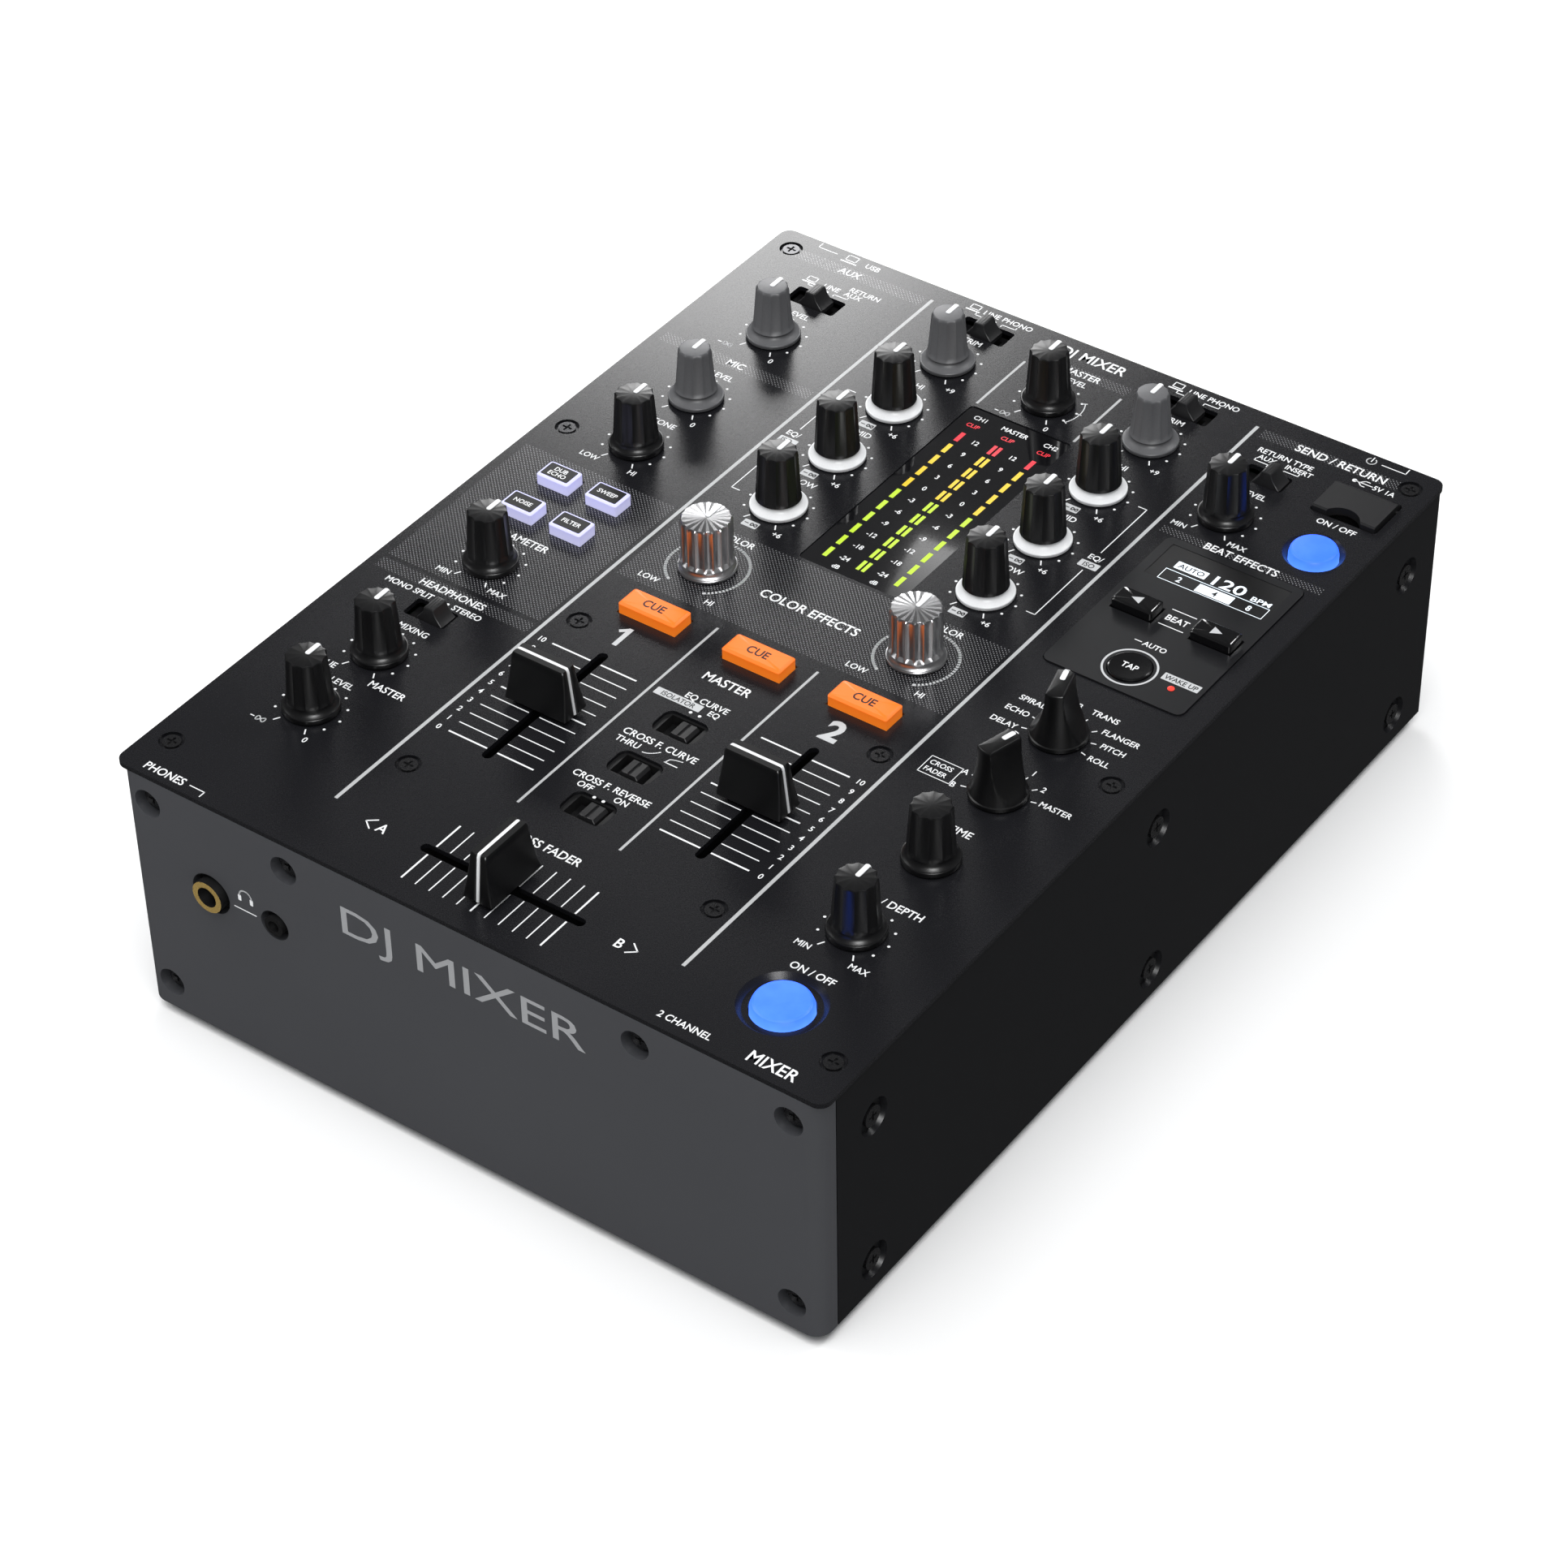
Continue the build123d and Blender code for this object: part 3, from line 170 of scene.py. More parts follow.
def paintedSteel(name, tint, rough, grain=0.35, sheen=0.5):
    # Fine powder coat: small bumps, and a faint drift in tone and roughness.
    m = Maker(name)
    fine = m.noise(3.2, 3.0, 0.6)
    broad = m.noise(0.02, 2.0)
    m.set(Base_Color=m.mix(broad * 0.5 + fine * 0.3, tint, tuple(1.25 * t for t in tint)))
    m.set(Roughness=rough + (fine - 0.5) * 0.10 + (broad - 0.5) * 0.06)
    m.shader.inputs["Specular IOR Level"].default_value = sheen
    m.bump(fine, grain, 0.02)
    return m


def platePaint():
    # The plate's paint with its printed dot bands: staggered dots inside plain rectangles.
    m = paintedSteel("platePaint", **finishes["plate"])
    x, y, z = m.axes()
    x, y = x - plateMid.x, y - plateMid.y
    inside = 0.0
    for left, right, low, high in dotBands.values():
        inside = inside + (x > left) * (x < right) * (y > low) * (y < high)
    pitch, size = dotPrint["pitch"], dotPrint["radius"]
    dots = 0.0
    for shift in (0.0, pitch / 2):
        dx = m.maths("WRAP", x + shift, pitch / 2, -pitch / 2)
        dy = m.maths("WRAP", y + shift, pitch / 2, -pitch / 2)
        dots = dots + ((dx * dx + dy * dy) < size * size)
    paint = Wire(m, m.shader.inputs["Base Color"].links[0].from_socket)
    m.set(Base_Color=m.mix(inside * dots * (z > plateTop - 0.05), paint, dotPrint["tint"]))
    return m.material


# bands of dots, as left, right, front and rear edges in millimetres from the plate's middle
dotPrint = {"pitch": 1.2, "radius": 0.16, "tint": (0.28, 0.28, 0.29)}
dotBands = {
    "padPanel": (-112.2, -58.7, -43.0, 20.2),
    "phonesTitle": (-112.2, -58.7, -49.1, -44.5),
    "colourBand": (-54.4, 55.3, -13.4, 20.0),
    "auxTitle": (-107.6, -58.8, 142.1, 146.7),
    "micTitle": (-112.3, -58.7, 83.75, 88.2),
    "masterTitle": (-16.0, 17.4, 137.6, 141.8),
    "sendTitle": (59.6, 105.2, 142.3, 146.5),
    "effectTitle": (59.75, 112.0, 88.6, 91.7),
}


def plainFinish(name, tint, rough, coat=0.0, metal=0.0, grain=0.1, scale=1.6):
    m = Maker(name)
    fine = m.noise(scale, 3.0, 0.55)
    m.set(Base_Color=m.mix(fine, tuple(0.88 * t for t in tint), tuple(1.12 * t for t in tint)))
    m.set(Roughness=rough + (fine - 0.5) * 0.08, Metallic=metal, Coat_Weight=coat)
    m.shader.inputs["Coat Roughness"].default_value = 0.08
    m.bump(fine, grain, 0.01)
    return m.material


def spunAluminium(name, centres):
    # Turned metal with a painted highlight: the base colour is lighter in two wide opposite sectors about the
    # knob's own axis, standing in for the glints its reflection shows.
    m = Maker(name)
    x, y, z = m.axes()
    cx, cy = centres
    # painted highlight: a cos(2a) sweep round the knob's axis that lightens two opposite sectors of the base
    # colour
    paintedGlint = (m.maths("ARCTAN2", y - cy, x - cx) * 2 + 0.6).over("COSINE")
    fine = m.noise(0.9, 2.0)
    m.set(Base_Color=m.mix(paintedGlint * 0.35 + fine * 0.3 + 0.35, (0.36, 0.36, 0.37), (0.64, 0.64, 0.65)))
    m.set(Metallic=0.95, Roughness=0.29 + (fine - 0.5) * 0.04, Anisotropic=0.6)
    return m.material


def glow(name, tint, deep, strength, span, level):
    # Lit translucent plastic: brighter low down where its lamp is, softer at the top.
    m = Maker(name)
    x, y, z = m.axes()
    fine = m.noise(0.22, 2.0)
    rise = m.maths("MINIMUM", (z - level) / span + (fine - 0.5) * 0.5, 1.0)
    shade = m.mix(rise, deep, tint)
    m.set(Base_Color=m.mix(fine, tuple(0.9 * t for t in tint), tint), Roughness=0.42)
    m.set(Emission_Color=shade, Emission_Strength=strength)
    return m.material


def lit(name, tint, strength):
    m = Maker(name)
    fine = m.noise(0.6)
    m.set(Base_Color=tuple(0.3 * t for t in tint), Roughness=0.5)
    m.set(Emission_Color=m.mix(fine, tuple(0.85 * t for t in tint), tint), Emission_Strength=strength)
    return m.material


def ink(name, tint, rough=0.45):
    m = Maker(name)
    fine = m.noise(2.0, 2.0)
    m.set(Base_Color=m.mix(fine, tuple(0.9 * t for t in tint), tint), Roughness=rough + (fine - 0.5) * 0.1)
    return m.material


# meshes from grids of points
class Shape:
    # Gathers grids and loops of points, in millimetres, into one mesh.

    def __init__(self):
        self.points = []
        self.faces = []
        self.slots = []
        self.count = 0

    def add(self, points, faces, slot=0):
        self.points.append(np.asarray(points, float).reshape(-1, 3))
        self.faces.extend([tuple(int(i) + self.count for i in face) for face in faces])
        self.slots.extend([slot] * len(faces))
        self.count += len(self.points[-1])

    def grid(self, rows, slot=0, closeLow=True, closeHigh=True):
        # Rows of points, each once anticlockwise from above, joined upwards and capped by fans.
        rows = np.asarray(rows, float)
        high, wide = rows.shape[:2]
        r, c = np.meshgrid(np.arange(high - 1), np.arange(wide), indexing="ij")
        nextC = (c + 1) % wide
        quads = np.stack([r * wide + c, r * wide + nextC, (r + 1) * wide + nextC, (r + 1) * wide + c], -1)
        faces = [tuple(q) for q in quads.reshape(-1, 4)]
        points = rows.reshape(-1, 3)
        ends = [(0, closeLow), (high - 1, closeHigh)]
        for row, wanted in ends:
            if wanted:
                centre = len(points)
                points = np.vstack([points, rows[row].mean(0)])
                a = row * wide + np.arange(wide)
                b = row * wide + (np.arange(wide) + 1) % wide
                pairs = zip(b, a) if row == 0 else zip(a, b)
                faces += [(p, q, centre) for p, q in pairs]
        self.add(points, faces, slot)

    def turn(self, about, degrees):
        # Turns everything so far clockwise, seen from above, about a point in plan.
        a = math.radians(-degrees)
        spin = np.array([[math.cos(a), -math.sin(a)], [math.sin(a), math.cos(a)]])
        for block in self.points:
            block[:, :2] = (block[:, :2] - about) @ spin.T + about

    def build(self, name, materials, body="case", replaced=(), slot=None, sharp=32):
        # Makes the object, in metres in the shared frame, riding on its body.
        mesh = bpy.data.meshes.new(name)
        points = np.vstack(self.points)
        points = (points + np.array([plateMid.x, plateMid.y, plateTop])) * mm
        mesh.from_pydata(points.tolist(), [], self.faces)
        mesh.polygons.foreach_set("material_index", np.array(self.slots, np.int32))
        mesh.polygons.foreach_set("use_smooth", np.ones(len(mesh.polygons), bool))
        mesh.update()
        mesh.set_sharp_from_angle(angle=math.radians(sharp))
        for material in materials:
            mesh.materials.append(material)
        made = bpy.data.objects.new(name, mesh)
        bpy.context.scene.collection.objects.link(made)
        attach(made, body)
        if replaced:
            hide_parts(*replaced)
        return made


def circle(x, y, radius, height, count=48):
    # Points round a circle, anticlockwise; radius and height may be arrays over the points.
    a = np.arange(count) * 2 * math.pi / count
    return np.stack([x + radius * np.cos(a), y + radius * np.sin(a), np.full(count, 1.0) * height], -1)


def roundRect(x0, x1, y0, y1, corner, height, count=5):
    # Points round a rectangle whose corners are quarter circles, anticlockwise.
    corner = max(min(corner, (x1 - x0) / 2 - 1e-3, (y1 - y0) / 2 - 1e-3), 1e-3)
    a = np.linspace(0, math.pi / 2, count)
    quarters = []
    for i, (cx, cy) in enumerate(((x1, y1), (x0, y1), (x0, y0), (x1, y0))):
        sx = 1 if cx == x1 else -1
        sy = 1 if cy == y1 else -1
        at = a + i * math.pi / 2
        quarters.append(
            np.stack([cx - sx * corner + corner * np.cos(at), cy - sy * corner + corner * np.sin(at)], -1)
        )
    ring = np.vstack(quarters)
    return np.column_stack([ring, np.full(len(ring), height)])


def tower(shape, rows, slot=0, closeLow=True, closeHigh=True):
    # A stack of rounded rectangles: each row is height, x0, x1, y0, y1 and corner radius.
    rings = [roundRect(x0, x1, y0, y1, corner, z) for z, x0, x1, y0, y1, corner in rows]
    shape.grid(rings, slot, closeLow, closeHigh)


def lathe(shape, x, y, profile, slot=0, count=48, closeLow=True, closeHigh=True):
    # A profile of radius and height carried round a vertical axis.
    shape.grid([circle(x, y, r, z, count) for r, z in profile], slot, closeLow, closeHigh)


def slab(shape, x0, x1, y0, y1, low, high, corner=0.0, slot=0):
    tower(shape, [(low, x0, x1, y0, y1, corner), (high, x0, x1, y0, y1, corner)], slot)


def tile(shape, x, y, w, d, low, high, corner=0.0, slot=0):
    slab(shape, x - w, x + w, y - d, y + d, low, high, corner, slot)


def centred(x, y, rows):
    # Rows for a tower about a point in plan: height, half width, half depth and corner radius.
    return [(z, x - w, x + w, y - d, y + d, corner) for z, w, d, corner in rows]


# knobs
potKnob = {
    "black": {"body": 6.55, "top": 5.7, "height": 18.6, "flange": 8.05, "rim": 1.8, "flutes": 12, "cut": 0.5},
    "eq": {"body": 6.55, "top": 5.7, "height": 19.9, "flange": 8.4, "rim": 1.2, "flutes": 12, "cut": 0.5},
    "grey": {"body": 5.9, "top": 4.9, "height": 17.9, "flange": 8.25, "rim": 1.3, "flutes": 12, "cut": 0.3},
    "silver": {"body": 7.3, "top": 7.5, "height": 17.5, "flange": 8.5, "rim": 1.0, "flutes": 18, "cut": 0.55},
}


def flutedRows(x, y, heights, radii, depths, flutes, count):
    # r = R(z) - cut(z) * (1 - (2t)^2), t running -1/2..1/2 across each flute.
    a = np.arange(count) * 2 * math.pi / count
    t = (flutes * a / (2 * math.pi)) % 1 - 0.5
    hollow = 1 - (2 * t) ** 2
    rows = []
    for z, radius, cut in zip(heights, radii, depths):
        r = radius - cut * hollow
        rows.append(circle(x, y, r, z, count))
    return rows


def pointerBar(shape, x, y, inner, outer, high, drop, slot, wide=1.5):
    # A raised bar over the top and down the back edge of a knob.
    half = wide / 2
    tower(shape, [
        (high - 0.3, x - half, x + half, y + inner, y + outer, 0.6),
        (high + 0.12, x - half, x + half, y + inner, y + outer, 0.6),
        (high + 0.25, x - half + 0.15, x + half - 0.15, y + inner + 0.15, y + outer - 0.15, 0.5),
    ], slot)
    tower(shape, [
        (high - drop, x - half, x + half, y + outer - 1.0, y + outer + 0.55, 0.3),
        (high - 0.5, x - half, x + half, y + outer - 1.2, y + outer + 0.15, 0.3),
        (high + 0.1, x - half, x + half, y + outer - 1.2, y + outer - 0.1, 0.3),
    ], slot)


def fluted(node, kind, marked=True):
    size = potKnob[kind]
    x, y = spot(node)
    body, top, high, flange, rim = (size[k] for k in ("body", "top", "height", "flange", "rim"))
    low = 0.35
    shape = Shape()
    lathe(shape, x, y, [
        (flange - 0.6, low), (flange - 0.1, low + 0.1), (flange, low + 0.35), (flange, low + rim - 0.25),
        (flange - 0.12, low + rim - 0.05), (flange - 0.4, low + rim),
    ], 1 if kind == "eq" else 0, 72, True, False)
    # the foot sweeps from the rim in to the grip: r = body + (flange - body) * (1 - s)^3
    s = np.linspace(0, 1, 9)
    reach = 1.7 if kind == "eq" else (flange - 0.4 - body)
    sweep = [(flange - 0.4 - reach * (1 - (1 - k) ** 3), low + rim + 2.6 * k) for k in s]
    lathe(shape, x, y, sweep, 1 if kind == "eq" else 0, 72, False, False)
    foot = sweep[-1][1]
    if kind == "grey":
        heights = [foot - 0.2, foot + 0.3, foot + 1.2, high - 1.2, high - 0.7, high - 0.3, high - 0.08, high]
        radii = [body + 0.5, body + 0.25, body, top + 0.06, top, top - 0.2, top - 0.5, top - 0.9]
        depths = [0, 0, 0.3, 0.3, 0.3, 0.22, 0.08, 0]
    elif kind == "silver":
        heights = [foot - 0.4, foot, foot + 0.5, high - 1.5, high - 0.5, high - 0.08, high]
        radii = [body + 0.5, body + 0.3, body + 0.1, top, top - 0.05, top - 0.4, top - 0.7]
        depths = [0, 0.3, 0.6, 0.6, 0.5, 0.25, 0]
    else:
        heights = [foot - 0.3, foot + 0.2, foot + 1.0, high - 0.65, high - 0.28, high - 0.07, high]
        radii = [body + 0.12, body + 0.04, body, top + 0.05, top, top - 0.14, top - 0.42]
        depths = [0, 0.15, 0.5, 0.5, 0.48, 0.44, 0.36]
    rows = flutedRows(x, y, heights, radii, depths, size["flutes"], size["flutes"] * 14)
    shape.grid(rows)
    if marked:
        reach = (top - 0.1) if kind != "silver" else top - 0.6
        pointerBar(shape, x, y, 0.2 if kind != "grey" else -0.6, reach, high, 3.2, 2)
    return shape


knobKinds = {
    "grey": ["aux_level_knob", "mic_level_knob", "trim_knob_1", "trim_knob_2"],
    "black": [
        "mic_tone_knob", "effect_parameter_knob", "headphone_mix_knob", "headphone_level_knob",
        "master_level_knob", "send_level_knob", "effect_time_knob", "effect_depth_knob",
    ],
    "eq": ["eq_" + band + "_knob_" + channel for band in ("hi", "mid", "low") for channel in ("1", "2")],
    "silver": ["color_knob_1", "color_knob_2"],
}
arrowWhite = ink("arrowWhite", (0.52, 0.53, 0.54))
pointerWhite = ink("pointerWhite", (0.86, 0.87, 0.88), 0.35)
ringWhite = ink("ringWhite", (0.82, 0.83, 0.84), 0.33)
knobBlack = plainFinish("knobBlack", (0.0055, 0.0055, 0.006), 0.33, grain=0.08)
knobGrey = plainFinish("knobGrey", (0.105, 0.106, 0.111), 0.42, grain=0.1)
glossBlack = plainFinish("glossBlack", (0.0035, 0.0035, 0.004), 0.17, coat=0.6, grain=0.01)
capBlack = plainFinish("capBlack", (0.0032, 0.0032, 0.0036), 0.34, grain=0.03)
satinBlack = plainFinish("satinBlack", (0.012, 0.012, 0.013), 0.4, grain=0.15)
deepBlack = plainFinish("deepBlack", (0.004, 0.004, 0.0045), 0.55)
for kind, names in knobKinds.items():
    for node in names:
        shape = fluted(node, kind, node != "effect_time_knob")
        coats = [knobGrey if kind == "grey" else knobBlack, ringWhite, pointerWhite]
        if kind == "silver":
            low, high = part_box(node)
            centres = ((low.x + high.x) / 2 / mm, (low.y + high.y) / 2 / mm)
            # the silver knobs' base colour carries a painted highlight in two sectors about each axis
            coats[0] = spunAluminium("turned_painted_glint_" + node, centres)
        slotName = {"grey": "grey_plastic", "silver": "spun_aluminium"}.get(kind, "black_gloss")
        shape.build("grip_" + node, coats, node, [node], slotName, 28)
print("knobs done")


# rotary selectors
selectorSize = {"flange": 8.2, "fin": 2.65, "foot": 4.35, "length": 6.0, "height": 18.3, "rim": 1.3}


def selector(node, turned):
    # r = min(R(z), w(z) / |cos a|): a cone pinched into a fin that points to the back.
    size = selectorSize
    x, y = spot(node)
    low = 0.35
    high = size["height"]
    shape = Shape()
    flange = size["flange"]
    lathe(shape, x, y, [
        (flange - 0.6, low), (flange, low + 0.3), (flange, low + size["rim"]),
        (flange - 0.35, low + size["rim"] + 0.25),
    ], 0, 72, True, False)
    count = 160
    a = np.arange(count) * 2 * math.pi / count
    rows = []
    for s in np.linspace(0, 1, 22):
        z = low + size["rim"] + 0.25 + (high - low - size["rim"] - 0.85) * s
        outer = size["length"] + (flange - 0.35 - size["length"]) * (1 - s) ** 2.5
        width = size["fin"] + size["foot"] * (1 - s) ** 2.2 + 1.4 * (1 - s) ** 8
        r = np.minimum(outer, width / np.maximum(np.abs(np.cos(a)), 1e-6))
        rows.append(circle(x, y, r, z, count))
    for inset, rise in ((0.1, 0.3), (0.3, 0.5), (0.65, 0.6)):
        r = np.minimum(size["length"] - inset, (size["fin"] - inset) / np.maximum(np.abs(np.cos(a)), 1e-6))
        rows.append(circle(x, y, r, high - 0.6 + rise, count))
    shape.grid(rows, 0, False, True)
    slab(shape, x - 0.75, x + 0.75, y + 1.2, y + 5.3, high - 0.3, high + 0.15, 0.5, 1)
    slab(shape, x - 0.75, x + 0.75, y + 4.9, y + 6.15, high - 3.2, high - 0.25, 0.3, 1)
    shape.turn(np.array([x, y]), turned)
    shape.build("grip_" + node, [capBlack, pointerWhite], node, [node], "black_gloss", 30)


selector("effect_selector", -15)
selector("channel_selector", 15)


# faders
faderCap = {
    "top": 16.3, "low": 1.6, "topLong": 8.75, "topWide": 2.7, "baseLong": 10.4, "baseWide": 4.9,
    "stripe": 0.55, "corner": 0.7,
}


def faderGrip(node, across):
    # Two black halves with a light stripe between them, wider at the foot than at the top.
    x, y = spot(node)
    c = faderCap
    shape = Shape()
    low, high = c["low"], c["top"]

    def block(start, end, slotIndex, shrink=0.0):
        # half width w = top + (base - top) * (1 - s)^1.6, and the length tapers in a straight line
        rows = []
        for s in list(np.linspace(0, 0.94, 9)) + [0.98, 1.0]:
            z = low + (high - low) * s - shrink
            inset = shrink + 0.35 * max(0.0, (s - 0.94) / 0.06) ** 2
            long = c["topLong"] + (c["baseLong"] - c["topLong"]) * (1 - s) - inset
            wide = c["topWide"] + (c["baseWide"] - c["topWide"]) * (1 - s) ** 1.6 - inset
            a, b = max(start, -wide), min(end, wide)
            if across:
                rows.append((z, x + a, x + b, y - long, y + long, c["corner"]))
            else:
                rows.append((z, x - long, x + long, y + a, y + b, c["corner"]))
        tower(shape, rows, slotIndex)

    stripe = c["stripe"]
    block(stripe, 9.0, 0)
    block(-9.0, -stripe, 0)
    block(-stripe - 0.02, stripe + 0.02, 1, 0.12)
    # the stem that goes down through the slot
    if across:
        tile(shape, x, y, 2.0, 0.6, -12.2, low + 0.3, 0.2, 0)
    else:
        tile(shape, x, y, 0.6, 2.0, -12.2, low + 0.3, 0.2, 0)
    shape.build("cap_" + node, [capBlack, pointerWhite], node, [node], "black_gloss", 30)


faderGrip("channel_fader_1", False)
faderGrip("channel_fader_2", False)
faderGrip("crossfader", True)


# buttons
cueOrange = glow("cueOrange", (0.86, 0.155, 0.008), (1.0, 0.26, 0.02), 0.42, level=plateTop, span=3.6)
padWhite = glow("padWhite", (0.56, 0.56, 0.92), (0.74, 0.74, 1.0), 0.40, level=plateTop, span=3.6)
lampBlue = glow("lampBlue", (0.02, 0.10, 0.95), (0.10, 0.28, 1.0), 1.35, level=plateTop - 2, span=4.0)
inkDark = ink("inkDark", (0.006, 0.004, 0.003), 0.5)


def cap(shape, x, y, wide, deep, low, high, bevel, slot=0, corner=0.8):
    # A square button whose top edges are bevelled.
    edges = ((low, 0.0), (high - bevel, 0.0), (high - bevel * 0.25, bevel * 0.75), (high, bevel * 1.3))
    tower(shape, centred(x, y, [(z, wide / 2 - cut, deep / 2 - cut, corner) for z, cut in edges]), slot)


cueButtons = ("cue_button_1", "cue_button_master", "cue_button_2")
for node in cueButtons:
    x, y = spot(node)
    shape = Shape()
    tile(shape, x, y, 10.9, 5.3, -2.7, -1.9, 0.8, 1)
    cap(shape, x, y, 19.4, 8.2, -1.9, 3.4, 0.6)
    shape.build("key_" + node, [cueOrange, deepBlack], node, [node], "cue_orange", 20)

for i in range(4):
    node = "effect_pad_" + str(i + 1)
    x, y = spot(node)
    shape = Shape()
    tile(shape, x, y, 6.8, 5.0, -2.7, -1.9, 0.8, 1)
    cap(shape, x, y, 11.2, 7.6, -1.9, 3.4, 0.45)
    tile(shape, x, y, 4.75, 2.95, 3.3, 3.43, 0.4, 1)
    shape.build("pad_" + node, [padWhite, deepBlack], node, [node], "pad_white", 20)

for node, side in (("beat_button_left", -1), ("beat_button_right", 1)):
    x, y = spot(node)
    shape = Shape()
    tile(shape, x, y, 7.7, 4.7, -3.9, -3.0, 0.8, 0)
    cap(shape, x, y, 13.0, 7.1, -3.0, 3.4, 0.5)
    points = [(x + side * 1.9, y, 3.43), (x - side * 1.3, y + 1.6, 3.43), (x - side * 1.3, y - 1.6, 3.43)]
    under = [(px, py, 3.3) for px, py, pz in points]
    if side < 0:
        points, under = points[::-1], under[::-1]
    shape.grid([under[::-1], points[::-1]], 1)
    shape.build("key_" + node, [glossBlack, arrowWhite], node, [node], "black_gloss", 20)


def roundKey(node, profile, coats, slotName):
    x, y = spot(node)
    shape = Shape()
    for piece, slot in profile:
        lathe(shape, x, y, piece, slot, 72)
    shape.build("key_" + node, coats, node, [node], slotName, 25)


roundKey("tap_button", [
    ([(7.4, -3.9), (7.4, -3.0)], 0),
    ([(6.2, -3.1), (6.2, 0.55), (6.05, 0.85), (5.7, 1.0), (5.0, 0.95), (0.05, 0.75)], 0),
], [glossBlack], "black_gloss")
roundKey("effect_on_button", [
    ([(9.7, -4.2), (9.7, -3.4)], 1),
    ([(8.5, -3.5), (8.45, -1.0), (8.1, 0.1), (7.75, 0.8), (7.2, 1.15), (6.4, 1.2), (0.05, 1.1)], 0),
], [lampBlue, deepBlack], "lamp_blue")
roundKey("send_on_button", [
    ([(8.5, -4.2), (8.5, -3.4)], 1),
    ([(7.2, -3.5), (7.15, -0.4), (6.9, 0.8), (6.6, 1.35), (6.1, 1.7), (5.4, 1.8), (0.05, 1.75)], 0),
], [lampBlue, deepBlack], "lamp_blue")


# slide switches
def leverGrip(node):
    # A black wedge: sloping sides up to a flat ridge, with a fine rib along its middle.
    x, y = spot(node)
    shape = Shape()
    tower(shape, centred(x, y, [
        (-6.0, 2.0, 1.5, 0.2),
        (-1.2, 2.0, 1.5, 0.2),
    ]))
    tower(shape, centred(x, y, [
        (-1.5, 4.5, 3.25, 0.5),
        (-0.2, 4.5, 3.25, 0.5),
        (0.5, 3.7, 3.1, 0.45),
        (2.2, 2.3, 3.05, 0.4),
        (4.2, 1.6, 3.0, 0.35),
        (4.45, 1.35, 2.8, 0.3),
        (4.5, 1.1, 2.6, 0.25),
    ]))
    for side in (-1.05, 0.0, 1.05):
        slab(shape, x + side * 0.75 - 0.12, x + side * 0.75 + 0.12, y - 2.5, y + 2.5, 4.4, 4.56, 0.08, 1)
    shape.build("lever_" + node, [satinBlack, knobBlack], node, [node], "black_gloss", 24)


for node in ("aux_source", "input", "mono_split", "return_type"):
    for end in ("_1", "_2") if node == "input" else ("",):
        leverGrip(node + "_switch" + end)


def miniGrip(node):
    x, y = spot(node)
    shape = Shape()
    tower(shape, centred(x, y, [
        (-7.0, 3.0, 3.1, 0.3), (-1.2, 3.0, 3.1, 0.3),
        (-0.55, 2.5, 3.0, 0.3), (-0.25, 2.3, 2.9, 0.3),
        (-0.3, 0.5, 2.8, 0.2), (-0.75, 0.3, 2.7, 0.1),
    ]))
    shape.build("slider_" + node, [satinBlack], node, [node], "black_gloss", 24)


for node in ("eq_curve_switch", "crossfader_curve_switch", "crossfader_reverse_switch"):
    miniGrip(node)
print("grips done")


# printing on the plate, from just inside the paint to just above it
inkLow, inkTop = -0.02, 0.03


def prism(shape, corners, low, high, slot=0):
    # Corners in plan, anticlockwise, carried from low to high.
    corners = np.asarray(corners, float)
    rings = [np.column_stack([corners, np.full(len(corners), z)]) for z in (low, high)]
    shape.grid(rings, slot)


def stroke(shape, points, wide, low, high, slot=0):
    # A line of even width through points, one block to each step.
    for (ax, ay), (bx, by) in zip(points[:-1], points[1:]):
        length = math.hypot(bx - ax, by - ay)
        if length < 1e-6:
            continue
        ux, uy = (bx - ax) / length * wide / 2, (by - ay) / length * wide / 2
        ex, ey = ux * 0.5, uy * 0.5
        prism(shape, [
            (ax - ex + uy, ay - ey - ux), (bx + ex + uy, by + ey - ux),
            (bx + ex - uy, by + ey + ux), (ax - ex - uy, ay - ey + ux),
        ], low, high, slot)


def arc(x, y, radius, start, end, count=24):
    # Points along an arc; angles run clockwise from the back edge, in degrees.
    return [
        (x + radius * math.sin(math.radians(a)), y + radius * math.cos(math.radians(a)))
        for a in np.linspace(start, end, count)
    ]


def frameLine(shape, x0, x1, y0, y1, wide, low, high, slot=0):
    for a, b in (((x0, y0), (x1, y0)), ((x1, y0), (x1, y1)), ((x1, y1), (x0, y1)), ((x0, y1), (x0, y0))):
        stroke(shape, [a, b], wide, low, high, slot)


letterCache = {}


def letters(words, weight=0.012):
    # Points and faces of a word set in Blender's own font, its capitals one unit high.
    if (words, weight) not in letterCache:
        curve = bpy.data.curves.new("word", "FONT")
        curve.body = words
        curve.resolution_u = 3
        curve.extrude = 0.5
        curve.offset = weight
        holder = bpy.data.objects.new("word", curve)
        bpy.context.scene.collection.objects.link(holder)
        bpy.context.view_layer.update()
        mesh = bpy.data.meshes.new_from_object(holder.evaluated_get(bpy.context.evaluated_depsgraph_get()))
        points = np.empty(len(mesh.vertices) * 3)
        mesh.vertices.foreach_get("co", points)
        faces = [tuple(p.vertices) for p in mesh.polygons]
        letterCache[words, weight] = (points.reshape(-1, 3), faces)
        bpy.data.objects.remove(holder)
        bpy.data.curves.remove(curve)
        bpy.data.meshes.remove(mesh)
    return letterCache[words, weight]


capHeight = float(np.ptp(letters("H")[0][:, 1]))


letterWidth = 0.92  # share of the font's own width


